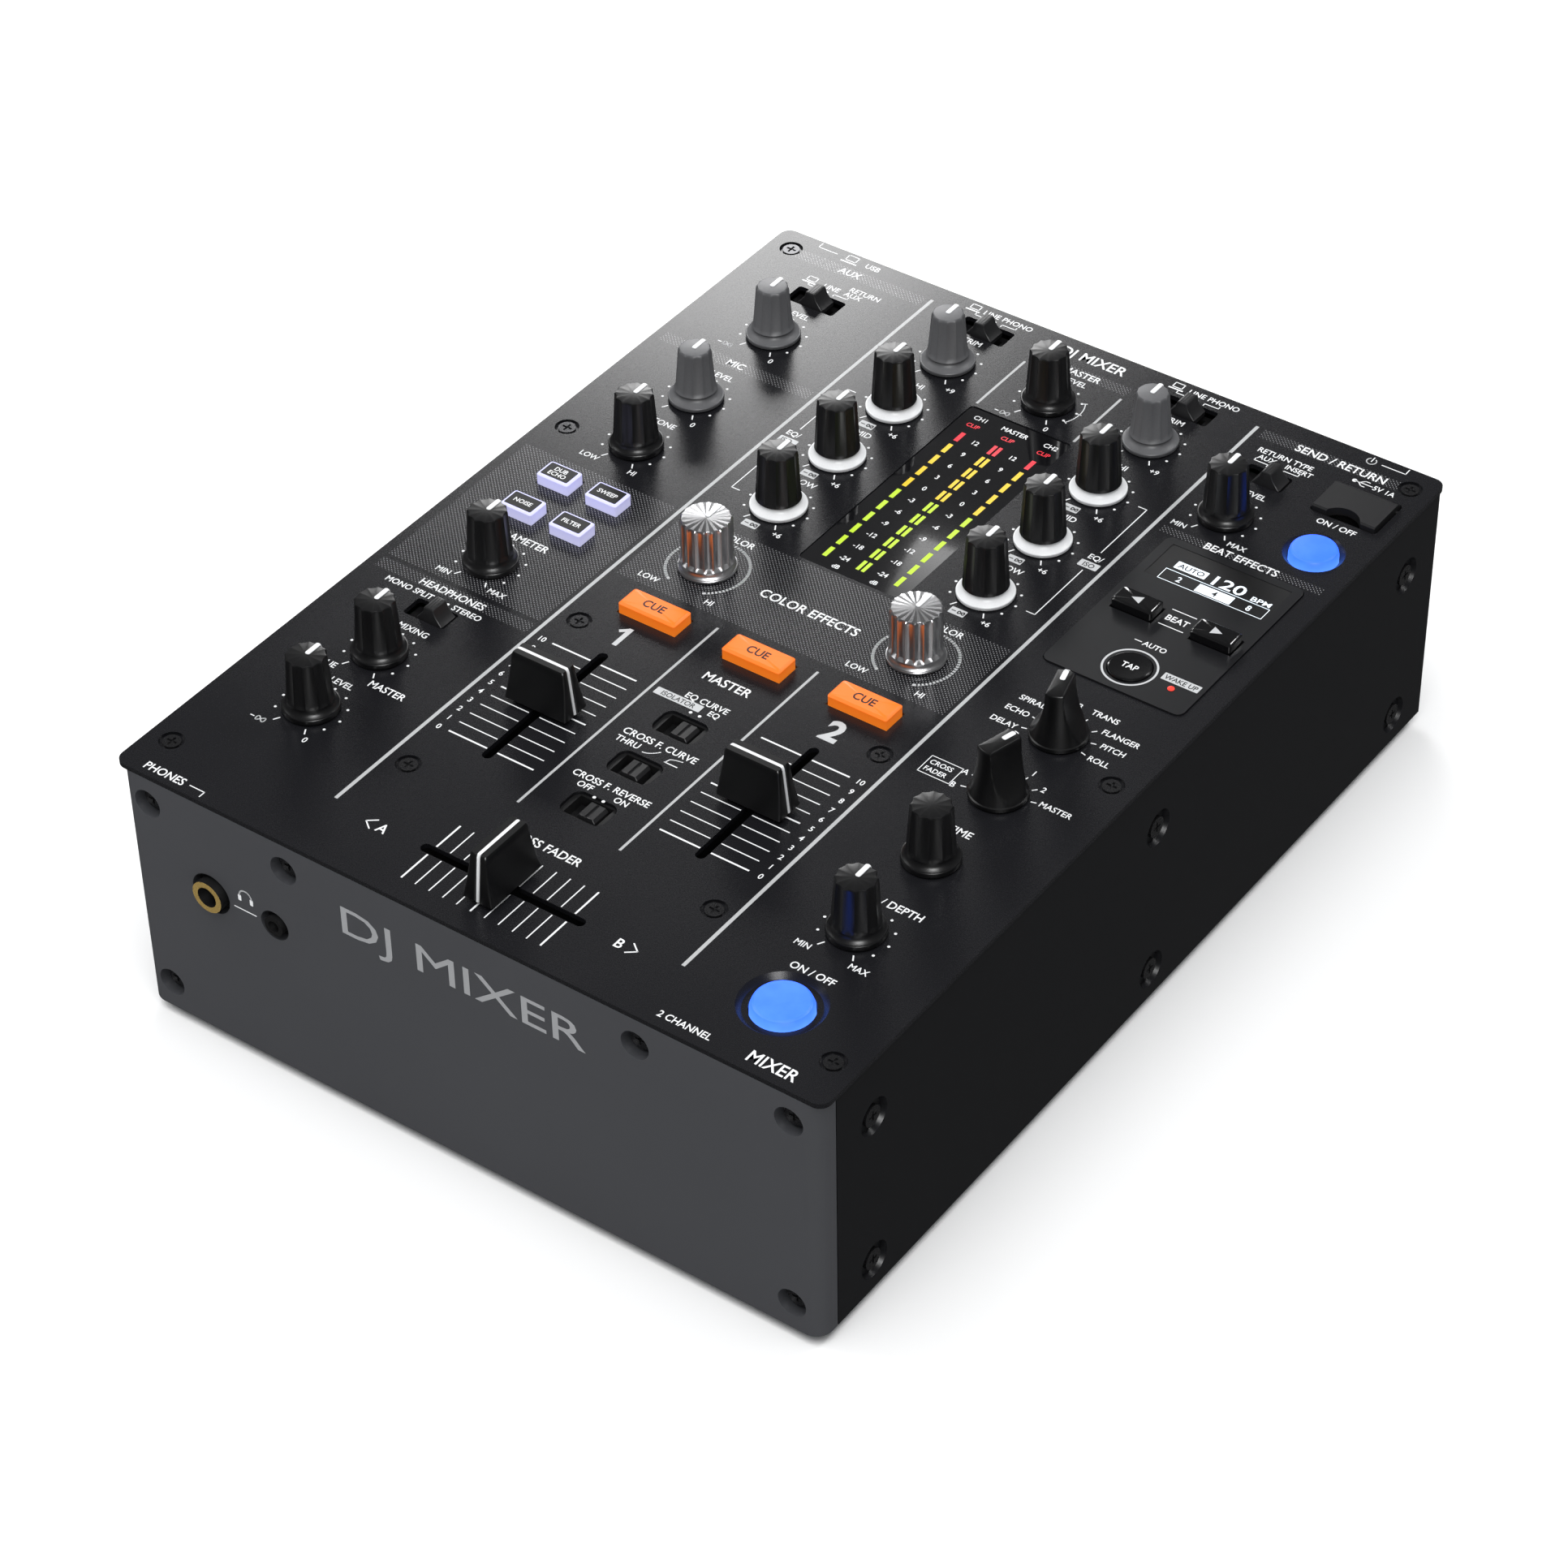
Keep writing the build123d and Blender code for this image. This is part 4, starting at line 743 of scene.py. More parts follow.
def label(
    shape, words, x, y, high=2.3, side="c", wide=None, low=inkLow, top=inkTop, slot=0, weight=0.012,
):
    # Words with capitals of a stated height; x is their middle, left or right end, and y their middle.
    points, faces = letters(words, weight)
    points = points.copy()
    scale = high / capHeight
    left, right = points[:, 0].min(), points[:, 0].max()
    stretch = wide / (right - left) if wide else scale * letterWidth
    width = (right - left) * stretch
    start = {"c": x - width / 2, "l": x, "r": x - width}[side]
    points[:, 0] = (points[:, 0] - left) * stretch + start
    points[:, 1] = points[:, 1] * scale - high / 2 + y
    points[:, 2] = np.where(points[:, 2] > 0, top, low)
    shape.add(points, faces, slot)


def infinity(shape, x, y, wide, low=inkLow, high=inkTop, slot=0):
    # A minus sign and a lying eight: (cos t, sin 2t / 2).
    t = np.linspace(0, 2 * math.pi, 25)
    loop = [(x + 0.75 + wide / 2 * math.cos(a), y + wide * 0.28 * math.sin(2 * a)) for a in t]
    stroke(shape, loop, 0.36, low, high, slot)
    stroke(shape, [(x - wide / 2 - 1.25, y), (x - wide / 2 - 0.05, y)], 0.36, low, high, slot)


def dot(shape, x, y, radius, low=inkLow, high=inkTop, slot=0):
    shape.grid([circle(x, y, radius, z, 12) for z in (low, high)], slot)


def laptop(shape, x, y, wide):
    h = wide * 0.33
    frameLine(shape, x - wide * 0.34, x + wide * 0.34, y - h * 0.45, y + h, 0.34, inkLow, inkTop)
    stroke(shape, [(x - wide / 2, y - h), (x + wide / 2, y - h)], 0.55, inkLow, inkTop)


marks = Shape()


def line(*points, wide=0.32):
    stroke(marks, list(points), wide, inkLow, inkTop)


# dividers, as x, front end, rear end and width
for x, y0, y1, wide in (
    (-56.6, -132.3, 146.7, 1.1), (57.1, -132.3, 146.7, 1.1), (-16.2, -106.4, -17.4, 0.8),
    (17.4, -106.4, -17.4, 0.8), (-16.25, 110.2, 135.8, 0.8), (17.3, 110.2, 135.8, 0.8),
):
    slab(marks, x - wide / 2, x + wide / 2, y0, y1, inkLow, inkTop, 0.1, 1)

# dots and end ticks round each knob
for kind, names in knobKinds.items():
    for node in names:
        x, y = spot(node)
        if kind == "silver":
            stroke(marks, arc(x, y, 11.9, -150, 150, 60), 0.85, inkLow, inkTop, 2)
        elif node != "effect_time_knob":
            for a in range(-120, 121, 30):
                dx, dy = arc(x, y, 9.9, a, a, 1)[0]
                dot(marks, dx, dy, 0.42)
            for a in (-150, 150):
                line(arc(x, y, 9.0, a, a, 1)[0], arc(x, y, 10.9, a, a, 1)[0], wide=0.4)
selectorTicks = {"effect_selector": range(-105, 106, 30), "channel_selector": (-105, -75, -45, 15, 45, 75)}
for node, angles in selectorTicks.items():
    x, y = spot(node)
    for a in angles:
        line(arc(x, y, 9.0, a, a, 1)[0], arc(x, y, 10.4, a, a, 1)[0], wide=0.36)

# fader scales: eleven lines on each side of each slot
faderScale = {"start": -93.75, "step": 4.515, "left": (-14.7, -1.9), "right": (1.9, 13.8)}
for node, side in (("channel_fader_1", -1), ("channel_fader_2", 1)):
    x = spot(node)[0]
    for k in range(11):
        y = faderScale["start"] + faderScale["step"] * k
        for a, b in (faderScale["left"], faderScale["right"]):
            line((x + a, y), (x + b, y), wide=0.55 if k in (0, 5, 10) else 0.36)
        label(marks, str(k), -52.9 if side < 0 else 53.4, y, 2.0)
crossScale = {"middle": 0.2, "step": 4.54}
for k in range(11):
    x = crossScale["middle"] + crossScale["step"] * (k - 5)
    wide = 0.55 if k in (0, 5, 10) else 0.36
    line((x, -132.2), (x, -122.5), wide=wide)
    line((x, -146.7), (x, -136.1), wide=wide)

# words: text, x, y, height, and which end x is where it isn't the middle
plateWords = [
    ("LEVEL", -85.8, -94.7, 2.3), ("0", -78.7, -118.7, 2.1), ("MIXING", -79.5, -65.7, 2.3, "r"),
    ("CUE", -92, -89.8, 2.3, "r"), ("MASTER", -79.7, -90.2, 2.6, "l"), ("PARAMETER", -85.7, -16.7, 2.8),
    ("MIN", -94.7, -39.9, 2.1), ("MAX", -75.7, -40, 2.1), ("HEADPHONES", -85.6, -47.1, 2.7),
    ("MONO SPLIT", -89.2, -51.5, 2.2, "r"), ("STEREO", -82, -51.6, 2.2, "l"), ("TONE", -85.5, 50.5, 2.3),
    ("LOW", -93.9, 26, 2.1), ("HI", -78.7, 26, 2.1), ("MIC", -85.5, 86.1, 2.8), ("LEVEL", -85.4, 79.1, 2.3),
    ("0", -78.2, 54.6, 2.1), ("AUX", -85.2, 144.4, 2.8), ("LEVEL", -85.3, 117.5, 2.3),
    ("0", -78.2, 93.3, 2.1), ("USB", -81, 150.5, 2.3), ("LINE", -85.2, 134.7, 2.2),
    ("RETURN", -74.8, 137.4, 2.2), ("AUX", -77.4, 134.7, 2.2), ("LINE", -37.3, 150.3, 2.2),
    ("PHONO", -28.3, 150.3, 2.2), ("LINE", 34.5, 150.3, 2.2), ("PHONO", 43.5, 150.3, 2.2),
    ("TRIM", -34.7, 135.3, 2.3), ("TRIM", 35.75, 135.3, 2.3), ("+9", -26.2, 111, 2.1),
    ("+9", 44.2, 111, 2.1), ("COLOR", -34.7, 17.5, 2.5), ("COLOR", 35.8, 17.5, 2.5),
    ("LOW", -45.6, -9.8, 2.2), ("HI", -24.9, -9.8, 2.2), ("LOW", 24.9, -9.8, 2.2), ("HI", 45.5, -9.8, 2.2),
    ("COLOR EFFECTS", 0.5, 2.5, 3.4), ("MASTER", 0.5, -35.75, 3.3), ("EQ CURVE", 0.7, -45.25, 2.3),
    ("EQ", 5.1, -48.3, 2.1), ("CROSS F. CURVE", 0.8, -66.5, 2.5), ("THRU", -7.3, -70.1, 2.3),
    ("CROSS F. REVERSE", 0.7, -87.75, 2.4), ("OFF", -5.6, -90.9, 2.2), ("ON", 6.2, -90.9, 2.2),
    ("CROSS FADER", 0.2, -116.3, 3.0), ("A", -38.6, -134.7, 3.4), ("B", 39.0, -134.7, 3.4),
    ("PHONES", -100.2, -150.3, 2.8), ("MASTER", 7.7, 139.6, 2.7, "r"), ("LEVEL", 5.6, 135.3, 2.3, "r"),
    ("0", 7.3, 110.8, 2.1), ("SEND / RETURN", 86.2, 144.4, 3.2), ("RETURN TYPE", 71.9, 137.6, 2.2),
    ("AUX", 67.5, 134.6, 2.1), ("INSERT", 78.1, 134.6, 2.1), ("LEVEL", 77.1, 117.8, 2.3, "r"),
    ("MIN", 62.8, 94.3, 2.1), ("MAX", 81.9, 94.3, 2.1), ("5V 1A", 102.8, 140.0, 2.1),
    ("ON / OFF", 100.0, 118, 2.3), ("ON / OFF", 85.6, -116, 2.5), ("BEAT EFFECTS", 85.9, 90.1, 2.9),
    ("TRANS", 91.8, 10.6, 2.1), ("FLANGER", 100.2, 5.2, 2.1), ("PITCH", 100.9, 0, 2.1),
    ("ROLL", 100.3, -6.1, 2.1), ("REVERB", 84.4, 10.6, 2.1, "r"), ("SPIRAL", 76.3, 5.1, 2.1, "r"),
    ("ECHO", 74.5, -0.3, 2.1, "r"), ("DELAY", 74.5, -6.3, 2.1, "r"), ("1", 88.9, -19.7, 2.1),
    ("2", 94.6, -23.9, 2.1), ("MASTER", 96.8, -29, 2.1, "l"), ("A", 73.6, -29.3, 2.1),
    ("B", 73.6, -35.4, 2.1), ("MIC", 75.0, -22.0, 2.1), ("CROSS", 67.0, -30.9, 1.8),
    ("FADER", 67.0, -33.9, 1.8), ("TIME", 85.7, -50.1, 2.7), ("LEVEL / DEPTH", 85.7, -83.7, 2.7),
    ("MIN", 77.1, -108.4, 2.1), ("MAX", 94.4, -108.4, 2.1), ("2 CHANNEL", 78.5, -149.4, 2.3, "r"),
    ("MIXER", 97.0, -148.7, 4.0), ("DJ MIXER", 0.4, 147.5, 4.2),
]
for words, *where in plateWords:
    label(marks, words, *where)
label(marks, "ISOLATOR", -6.75, -48.35, 1.8, low=0.0, top=0.05, slot=3)
for x, y in ((-95.0, -118.7), (-94.7, 93.3), (-95.0, 54.6), (-7.6, 110.8)):
    infinity(marks, x, y, 2.9)
for x in (-34.7, 35.75):
    infinity(marks, x - 8.6, 111, 2.9)
    for y, name in ((107.75, "HI"), (79, "MID"), (50.2, "LOW")):
        label(marks, name, x, y, 2.3)
    for y in (83.2, 54.4, 25.75):
        slab(marks, x - 4.4, x + 0.7, y - 1.45, y + 1.45, inkLow, inkTop, 0.3, 2)
        infinity(marks, x - 1.5, y, 2.0, 0.0, 0.05, 3)
        label(marks, "+6", x + 7.3, y, 2.1)

# channel numbers behind the faders
stroke(marks, [(-35.3, -39.3), (-35.3, -31.7)], 1.5, inkLow, inkTop, 2)
stroke(marks, [(-37.6, -33.7), (-35.6, -32.0)], 1.2, -0.02, 0.025, 2)
label(marks, "2", 35.5, -35.5, 8.2, wide=5.6, slot=2, weight=0.035)

# brackets that join the three equaliser knobs of a channel
for side, mid in ((1, 52.0), (-1, -51.2)):
    for y0, y1 in ((94.6, 70.6), (61.0, 36.8)):
        line((mid, y0), (mid, y1))
    for y in (94.6, 36.8):
        line((mid, y), (mid - side * 2.8, y))
    label(marks, "EQ/", mid + side * 0.2, 67.7, 2.2)
    slab(marks, mid - 2.9, mid + 3.3, 62.4, 65.4, inkLow, inkTop, 0.3, 2)
    label(marks, "ISO", mid + side * 0.2, 63.9, 1.9, low=0.0, top=0.05, slot=3)
slab(marks, -14.4, 0.9, -49.8, -46.9, inkLow, inkTop, 0.3, 2)

# marks beside the switches
inputMarks = [(-85.2, 132.2), (-34.7, 147.5), (36.0, 147.5)]
for x, y in [(-83.9, -51.5), (-0.8, -50.9), (2.2, -50.9), (-0.8, -93.4), (2.2, -93.4)] + inputMarks:
    dot(marks, x, y, 0.5)
for x, y in inputMarks + [(71.75, 132.2)]:
    line((x - 2.6, y - 0.9), (x - 2.6, y + 0.1), (x - 7.2, y + 0.1), (x - 7.2, y + 1.1))
    line((x + 2.6, y - 0.9), (x + 2.6, y + 0.1), (x + 7.2, y + 0.1), (x + 7.2, y + 1.1))
for x, y in ((-92.8, 135.0), (-43.7, 150.6), (27.7, 150.6)):
    laptop(marks, x, y, 4.6)
laptop(marks, -89.0, 150.6, 5.4)
line((-101.3, 153.0), (-101.3, 150.7), (-94.4, 150.7))
line((-91.6, -150.3), (-86.5, -150.3), (-86.5, -152.4))
for tip, tail in ((-44.2, -41.6), (44.6, 42.0)):
    for side in (1, -1):
        line((tip, -134.7), (tail, -134.7 + 2.0 * side), wide=0.4)
frameLine(marks, 62.6, 72.6, -36.0, -28.8, 0.25, inkLow, inkTop)
# crossfader curves: a slow one and a steep one
line(*[(-1.6 + 4.2 * t, -71.4 + 2.6 * t * t) for t in np.linspace(0, 1, 9)])
line((5.7, -71.4), (9.9, -71.4))
line(*[(5.9 + 4.0 * t, -71.4 + 2.6 * t ** 0.25) for t in np.linspace(0, 1, 9)])
# master level bracket, power sign, plug sign
x, y = spot("master_level_knob")
line(*arc(x, y, 10.9, 60, 120, 14))
for a in (60, 90, 120):
    line(arc(x, y, 10.3, a, a, 1)[0], arc(x, y, 11.5, a, a, 1)[0])
line(*arc(92.6, 150.6, 1.45, 35, 325, 20))
line((92.6, 150.4), (92.6, 152.6))
line((96, 150.6), (103.7, 150.6), (103.7, 153.0))
line((93.2, 140.0), (99.0, 140.0))
line((94.9, 140.0), (96.2, 141.3), (97.6, 141.3))
line((94.4, 140.0), (95.9, 138.7), (97.0, 138.7))
dot(marks, 93.2, 140.0, 0.75)
# ring round the tap key
x, y = spot("tap_button")
ringLow = 0.38
tapRing = {"inner": 7.35, "outer": 7.95, "thick": 0.06}
ringHigh = ringLow + tapRing["thick"]
section = [("inner", ringLow), ("outer", ringLow), ("outer", ringHigh), ("inner", ringHigh)]
marks.grid([circle(x, y, tapRing[edge], z, 72) for edge, z in section + section[:1]], 2, False, False)
printWhite = ink("printWhite", (0.86, 0.87, 0.88), 0.5)
printGrey = ink("printGrey", (0.46, 0.465, 0.47), 0.45)
printRing = ink("printRing", (0.55, 0.56, 0.57), 0.45)
marks.build("platePrint", [printWhite, printGrey, printRing, deepBlack], "case", (), None, 60)
print("plate printing done")

# words on the buttons ride with them
for node in cueButtons:
    x, y = spot(node)
    shape = Shape()
    label(shape, "CUE", x, y, 2.9, low=3.38, top=3.43, weight=0.02)
    shape.build("word_" + node, [inkDark], node)
for i, rows in enumerate((("DUB", "ECHO"), ("SWEEP",), ("NOISE",), ("FILTER",))):
    node = "effect_pad_" + str(i + 1)
    x, y = spot(node)
    shape = Shape()
    for k, words in enumerate(rows):
        label(shape, words, x, y + 1.1 * (len(rows) - 1) - 2.2 * k, 1.7, low=3.41, top=3.46)
    shape.build("word_" + node, [pointerWhite], node)
x, y = spot("tap_button")
shape = Shape()
label(shape, "TAP", x, y, 2.2, low=0.74, top=0.86)
shape.build("word_tap", [printWhite], "tap_button")

# insert printing
insert = Shape()
raised = {"low": 0.38, "top": 0.44}
label(insert, "BEAT", 86.0, 56.2, 2.4, **raised)
for y in (59.9, 52.6):
    stroke(insert, [(82.1, y), (89.9, y)], 0.3, *raised.values())
label(insert, "AUTO", 87.0, 42.9, 2.0, **raised)
stroke(insert, [(80.6, 42.9), (82.8, 42.9)], 0.3, *raised.values())
slab(insert, 95.2, 106.8, 32.5, 35.5, 0.38, 0.43, 0.2, 1)
label(insert, "WAKE UP", 101.0, 34.0, 1.8, low=0.4, top=0.46, slot=2)
insert.build("insertPrint", [printWhite, printRing, deepBlack], "case")


# level meters
meterPlace = {"first": 28.25, "step": 6.57, "top": -0.28, "bars": (-11.3, -0.05, 1.72, 13.0)}
barGreen = lit("barGreen", (0.50, 0.72, 0.03), 1.0)
barYellow = lit("barYellow", (0.82, 0.56, 0.03), 1.0)
barRed = lit("barRed", (0.80, 0.03, 0.05), 1.05)
meter = Shape()
meterInk = {"low": -0.32, "top": -0.26}
levelNames = ("-24", "-18", "-12", "-9", "-6", "-3", "0", "3", "6", "9", "12")
for k, name in enumerate(levelNames):
    y = meterPlace["first"] + meterPlace["step"] * k
    for x in meterPlace["bars"]:
        wide = 0.55 if x in (-0.05, 1.72) else 0.72
        tile(meter, x, y, wide, 2.3, -0.32, -0.25, 0.1, 2 if k == 10 else 1 if k >= 6 else 0)
    for x in (-5.7, 7.2):
        label(meter, name, x, y, 1.9, **meterInk, slot=3)
for words, x in (("CH1", -11.1), ("MASTER", 0.9), ("CH2", 13.2)):
    label(meter, words, x, 104.6, 1.9, **meterInk, slot=3)
    label(meter, "CLIP", x, 100.6, 1.7, **meterInk, slot=2)
for x in (-5.7, 7.2):
    label(meter, "dB", x, 23.8, 1.7, **meterInk, slot=3)
meter.build("meterLamps", [barGreen, barYellow, barRed, printWhite], "case")

# display
screenWhite = lit("screenWhite", (0.85, 0.93, 1.0), 1.2)
screen = Shape()
shown = {"low": 0.28, "top": 0.34}
label(screen, "120", 89.7, 77.6, 4.2, wide=10.2, **shown)
label(screen, "BPM", 100.5, 76.4, 2.0, wide=6.2, **shown)
slab(screen, 72.2, 82.2, 76.1, 79.4, 0.28, 0.33, 0.2)
label(screen, "AUTO", 77.2, 77.75, 2.0, wide=8.2, low=0.28, top=0.36, slot=1)
frameLine(screen, 70.9, 104.2, 69.9, 74.75, 0.2, *shown.values())
stroke(screen, [(70.9, 74.75), (104.2, 74.75)], 0.2, *shown.values())
label(screen, "2", 76.6, 72.2, 2.3, **shown)
label(screen, "8", 99.0, 72.2, 2.3, **shown)
slab(screen, 82.4, 93.7, 70.4, 74.0, 0.28, 0.33, 0.1)
label(screen, "4", 88.0, 72.2, 2.3, low=0.28, top=0.36, slot=1)
screen.build("screenMarks", [screenWhite, deepBlack], "case")
lamp = Shape()
lathe(lamp, 100.0, 30.3, [(1.0, 0.3), (1.0, 0.55), (0.7, 0.78), (0.05, 0.85)], 0, 24)
redLamp = lit("redLamp", (1.0, 0.05, 0.03), 1.0)
lamp.build("wakeLamp", [redLamp], "case")

# front printing
markGrey = ink("markGrey", (0.36, 0.365, 0.375), 0.35)
face = Shape()


def upright(flat, name, coats):
    # Turns a flat drawing up onto the front face: y in the drawing is height.
    for block in flat.points:
        height, out = block[:, 1].copy(), block[:, 2].copy()
        block[:, 2] = height
        block[:, 1] = -153.75 - out
    flat.build(name, coats, "case")


stroke(face, [(-77.0, -32.6), (-69.4, -32.6)], 0.35, inkLow, inkTop)
stroke(face, arc(-72.7, -27.6, 2.1, -90, 90, 16), 0.45, inkLow, inkTop)
slab(face, -75.3, -74.2, -29.6, -27.5, inkLow, inkTop, 0.3)
slab(face, -71.2, -70.1, -29.6, -27.5, inkLow, inkTop, 0.3)
label(face, "DJ MIXER", 1.5, -17.4, 9.6, wide=80.0, slot=1, weight=0.0)
upright(face, "frontPrint", [printWhite, markGrey])
print("lamps, display and front printing done")


# finishes on the CAD nodes
def dress(node, *materials):
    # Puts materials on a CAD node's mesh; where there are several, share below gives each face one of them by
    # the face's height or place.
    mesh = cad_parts[node].data
    mesh.materials.clear()
    for material in materials:
        mesh.materials.append(material)
    return mesh


def share(node, materials, rules):
    # Gives each face of a CAD node one of the materials; a rule takes face middles in plate millimetres.
    mesh = dress(node, *materials)
    middles = np.empty(len(mesh.polygons) * 3)
    mesh.polygons.foreach_get("center", middles)
    middles = middles.reshape(-1, 3) / mm - np.array([plateMid.x, plateMid.y, plateTop])
    slots = np.zeros(len(mesh.polygons), np.int32)
    for index, rule in rules:
        slots[rule(*middles.T)] = index
    mesh.polygons.foreach_set("material_index", slots)


def nearAxis(places, radius):
    # True for faces within a radius of one of the axes that run front to back.
    def inside(x, y, z):
        return np.any([(x - px) ** 2 + (z - pz) ** 2 < radius ** 2 for px, pz in places], axis=0)
    return inside


front = paintedSteel("frontPaint", **finishes["front"], grain=0.3).material
sidePaint = paintedSteel("sidePaint", **finishes["side"], grain=0.3).material
metalSteel = plainFinish("socketSteel", (0.55, 0.54, 0.52), 0.25, metal=1.0)
metalGold = plainFinish("socketGold", (0.90, 0.62, 0.20), 0.25, metal=0.75)
screwBlack = plainFinish("screwBlack", (0.055, 0.055, 0.058), 0.27, metal=0.85)
rubber = plainFinish("rubber", (0.012, 0.012, 0.012), 0.8, grain=0.3)
boardGreen = plainFinish("boardGreen", (0.01, 0.09, 0.035), 0.4, coat=0.3)
insertSatin = plainFinish("insertSatin", (0.0105, 0.0107, 0.012), 0.3, grain=0.12)
smoke = plainFinish("smokePane", (0.004, 0.004, 0.005), 0.035, coat=1.0, grain=0.0)
smoke.node_tree.nodes["Principled BSDF"].inputs["IOR"].default_value = 1.9
dress("top_plate", platePaint())
dress("front_panel", front)
dress("side_panels", sidePaint)
dress("base_chassis", sidePaint)
dress("meter_window", smoke)
share("effect_panel", [insertSatin, deepBlack], [
    (1, lambda x, y, z: (abs(x - 87.6) < 18.2) & (abs(y - 74.8) < 6.6)),
])
dress("circuit_boards", boardGreen)
dress("control_bodies", deepBlack)
bigJack = (-85.2, -32.6)
share("panel_sockets", [deepBlack, metalGold, metalSteel], [
    (1, lambda x, y, z: nearAxis([bigJack], 4.6)(x, y, z) & (y < -151.0)),
    (0, lambda x, y, z: nearAxis([bigJack], 3.25)(x, y, z) & (y > -154.8)),
    (2, lambda x, y, z: (x > 80) & (z < -5.5)),
])
phonoPlaces = [(x, z) for x in (-80.5, -62.5, -38.5, -20.5, 5.5) for z in (-26.0, -42.0)]
plugPlaces = [(x, -62.5) for x in (-49.5, -31.5, -7.5, 10.5)]
threePin = [(43.5, -28.0), (43.5, -60.0), (-80.5, -62.5)]
posts = [(-99.5, -56.5), (26.0, -56.5)]
red = ink("socketRed", (0.42, 0.02, 0.02), 0.35)
share("rear_jacks", [deepBlack, metalSteel, metalGold, red, satinBlack], [
    (4, lambda x, y, z: y > 152.9),
    (2, lambda x, y, z: nearAxis(phonoPlaces, 4.3)(x, y, z) & (y > 151.0)),
    (1, lambda x, y, z: nearAxis(threePin, 5.2)(x, y, z) & (y < 153.4)),
    (1, lambda x, y, z: nearAxis(posts, 4.0)(x, y, z)),
    (2, lambda x, y, z: nearAxis(plugPlaces, 3.3)(x, y, z)),
    (1, lambda x, y, z: (abs(x - 75.5) < 9.5) & (abs(z + 31.0) < 6.0) & (y < 152.0)),
])
dress("usb_b_socket", metalSteel)
dress("screws", screwBlack)
dress("rubber_feet", rubber)
dress("usb_flap", satinBlack)
dress("power_rocker", glossBlack)
print("finishes on the frame done")


# floor, lights and camera
def stageFloor():
    # A pale sweep: floor that stays white where the light falls on it.
    m = Maker("floorWhite")
    fine = m.noise(0.01, 2.0)
    m.set(Base_Color=m.mix(fine, (0.93, 0.93, 0.93), (0.95, 0.95, 0.95)), Roughness=0.9)
    m.shader.inputs["Specular IOR Level"].default_value = 0.1
    bpy.ops.mesh.primitive_plane_add(size=14, location=(0, 0, 0))
    floor = bpy.context.object
    floor.name = "floor"
    floor.data.materials.append(m.material)
    floor.visible_glossy = False


def softbox(name, place, aim, size, power, shown="both"):
    light = bpy.data.lights.new(name, "AREA")
    light.shape = "RECTANGLE"
    light.size, light.size_y = size
    light.energy = power
    made = bpy.data.objects.new(name, light)
    made.location = place
    direction = Vector(aim) - Vector(place)
    made.rotation_euler = direction.to_track_quat("-Z", "Y").to_euler()
    made.visible_camera = False
    made.visible_glossy = shown != "spread"
    made.visible_diffuse = shown != "gloss"
    bpy.context.scene.collection.objects.link(made)


roomLight = {"fill": 0.36, "mirror": 0.08}
# each light: place, what it faces, width and height, power, and whether it is only spread or only gloss
lights = {
    # a low panel whose glow shows across the rear left of the plate
    "rearPanel": ((-0.46, 0.60, 0.38), (-0.46, 0.60, 0.0), (0.34, 0.40), 4.9),
    "topSoftbox": ((0.3, -0.7, 2.3), (0, 0, 0), (2.0, 2.0), 52, "spread"),
    "topGlint": ((0.3, -0.7, 2.3), (0, 0, 0), (2.0, 2.0), 8, "gloss"),
    "frontGlint": ((0.75, -0.80, 0.78), (0, 0, 0.06), (0.5, 0.5), 12, "gloss"),
    "leftSoftbox": ((-1.7, -0.5, 1.5), (0, 0, 0.05), (0.9, 1.2), 10),
    "rimSoftbox": ((0.70, 1.25, 1.5), (0.1, 0, 0.05), (0.34, 0.26), 7),
}


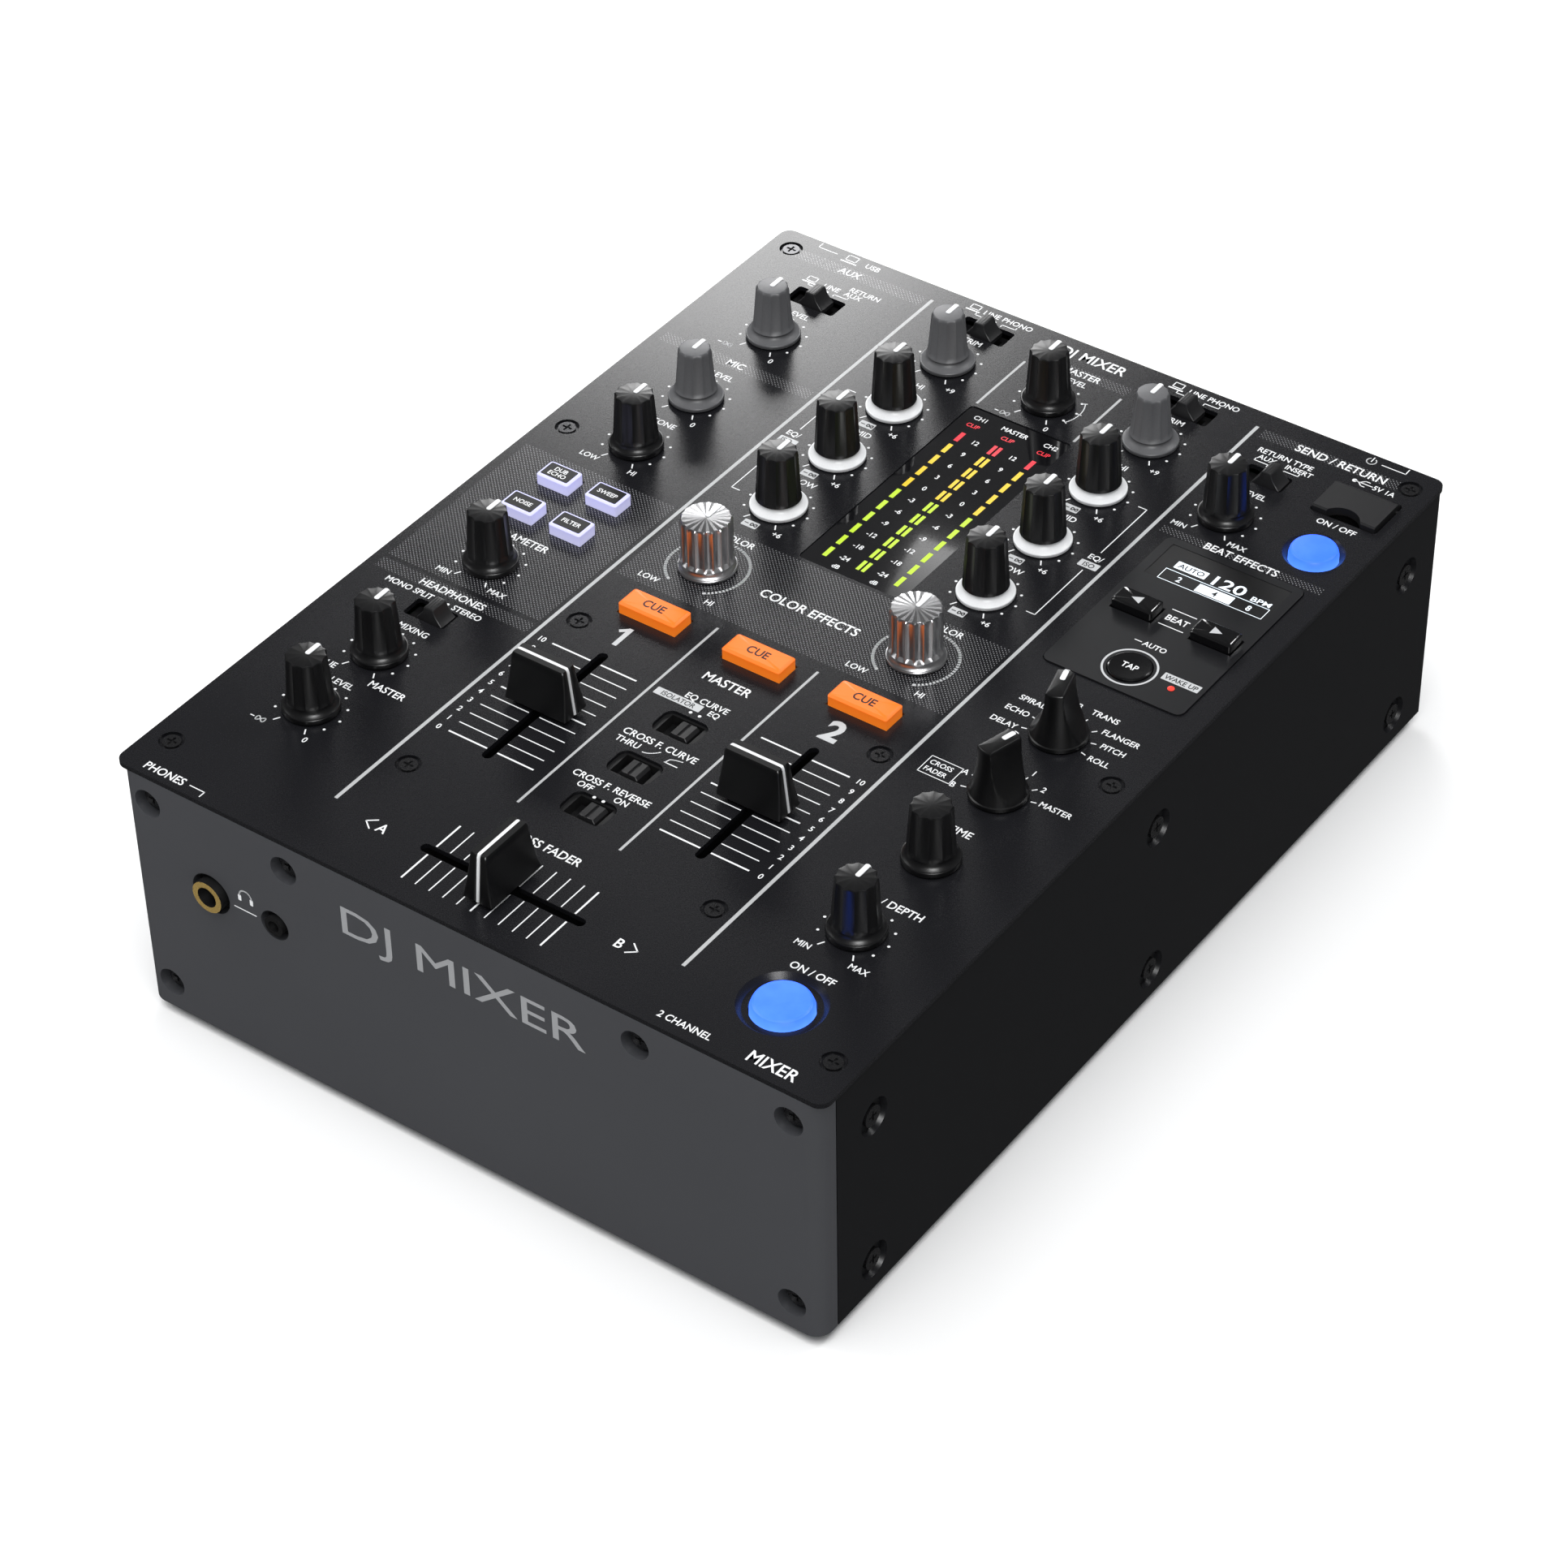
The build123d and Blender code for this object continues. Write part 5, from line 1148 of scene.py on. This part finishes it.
def reflectorCard(corners, height, bright, dark, strength):
    # A card hung where the plate mirrors it: corners are its outline as seen on the plate.
    away = Vector((-0.450, 0.612, 0.650)) * height / 0.650
    mesh = bpy.data.meshes.new("reflectorCard")
    points = [Vector((x, y, plateTop)) * mm + away for x, y in corners]
    mesh.from_pydata(points, [], [tuple(range(len(corners)))])
    m = Maker("cardLight")
    x, y, z = m.axes()
    rise = (y - (dark + away.y / mm)) / (bright - dark)
    level = m.maths("MINIMUM", m.maths("MAXIMUM", rise, 0.0), 1.0)
    shade = m.mix(level * level, (0, 0, 0), (1, 1, 1))
    m.set(Base_Color=(0, 0, 0), Emission_Color=shade, Emission_Strength=strength)
    mesh.materials.append(m.material)
    card = bpy.data.objects.new("reflectorCard", mesh)
    bpy.context.scene.collection.objects.link(card)
    card.visible_camera = False
    card.visible_shadow = False
    card.visible_diffuse = False


stageFloor()
reflectorCard([(-13, 105), (13, 16), (26, 16), (26, 116), (-15, 116)], 0.5, 112, 18, 2.0)
for name, settings in lights.items():
    softbox(name, *settings)

# the room: white behind, an even fill on surfaces, and nearly dark in reflections
world = bpy.data.worlds.new("studio")
world.use_nodes = True
bpy.context.scene.world = world
tree = world.node_tree
paths = tree.nodes.new("ShaderNodeLightPath")
last = tree.nodes["Background"]
last.inputs["Color"].default_value = (0.96, 0.98, 1.0, 1)
last.inputs["Strength"].default_value = roomLight["fill"]
last = last.outputs[0]
for ray, strength in (("Is Glossy Ray", roomLight["mirror"]), ("Is Camera Ray", 1.0)):
    shade = tree.nodes.new("ShaderNodeBackground")
    shade.inputs["Strength"].default_value = strength
    shade.inputs["Color"].default_value = (1, 1, 1, 1)
    mixer = tree.nodes.new("ShaderNodeMixShader")
    tree.links.new(paths.outputs[ray], mixer.inputs[0])
    tree.links.new(last, mixer.inputs[1])
    tree.links.new(shade.outputs[0], mixer.inputs[2])
    last = mixer.outputs[0]
tree.links.new(last, tree.nodes["World Output"].inputs["Surface"])

shot = {"lens": 103.68, "sensor": 36, "place": (0.57199, -0.79297, 0.86021), "turn": (49.469, 0.810, 35.623)}
lens = bpy.data.cameras.new("camera")
lens.lens = shot["lens"]
lens.sensor_width = shot["sensor"]
camera = bpy.data.objects.new("camera", lens)
camera.location = shot["place"]
camera.rotation_euler = [math.radians(a) for a in shot["turn"]]
bpy.context.scene.collection.objects.link(camera)
bpy.context.scene.camera = camera
bpy.context.scene.view_settings.view_transform = "Standard"
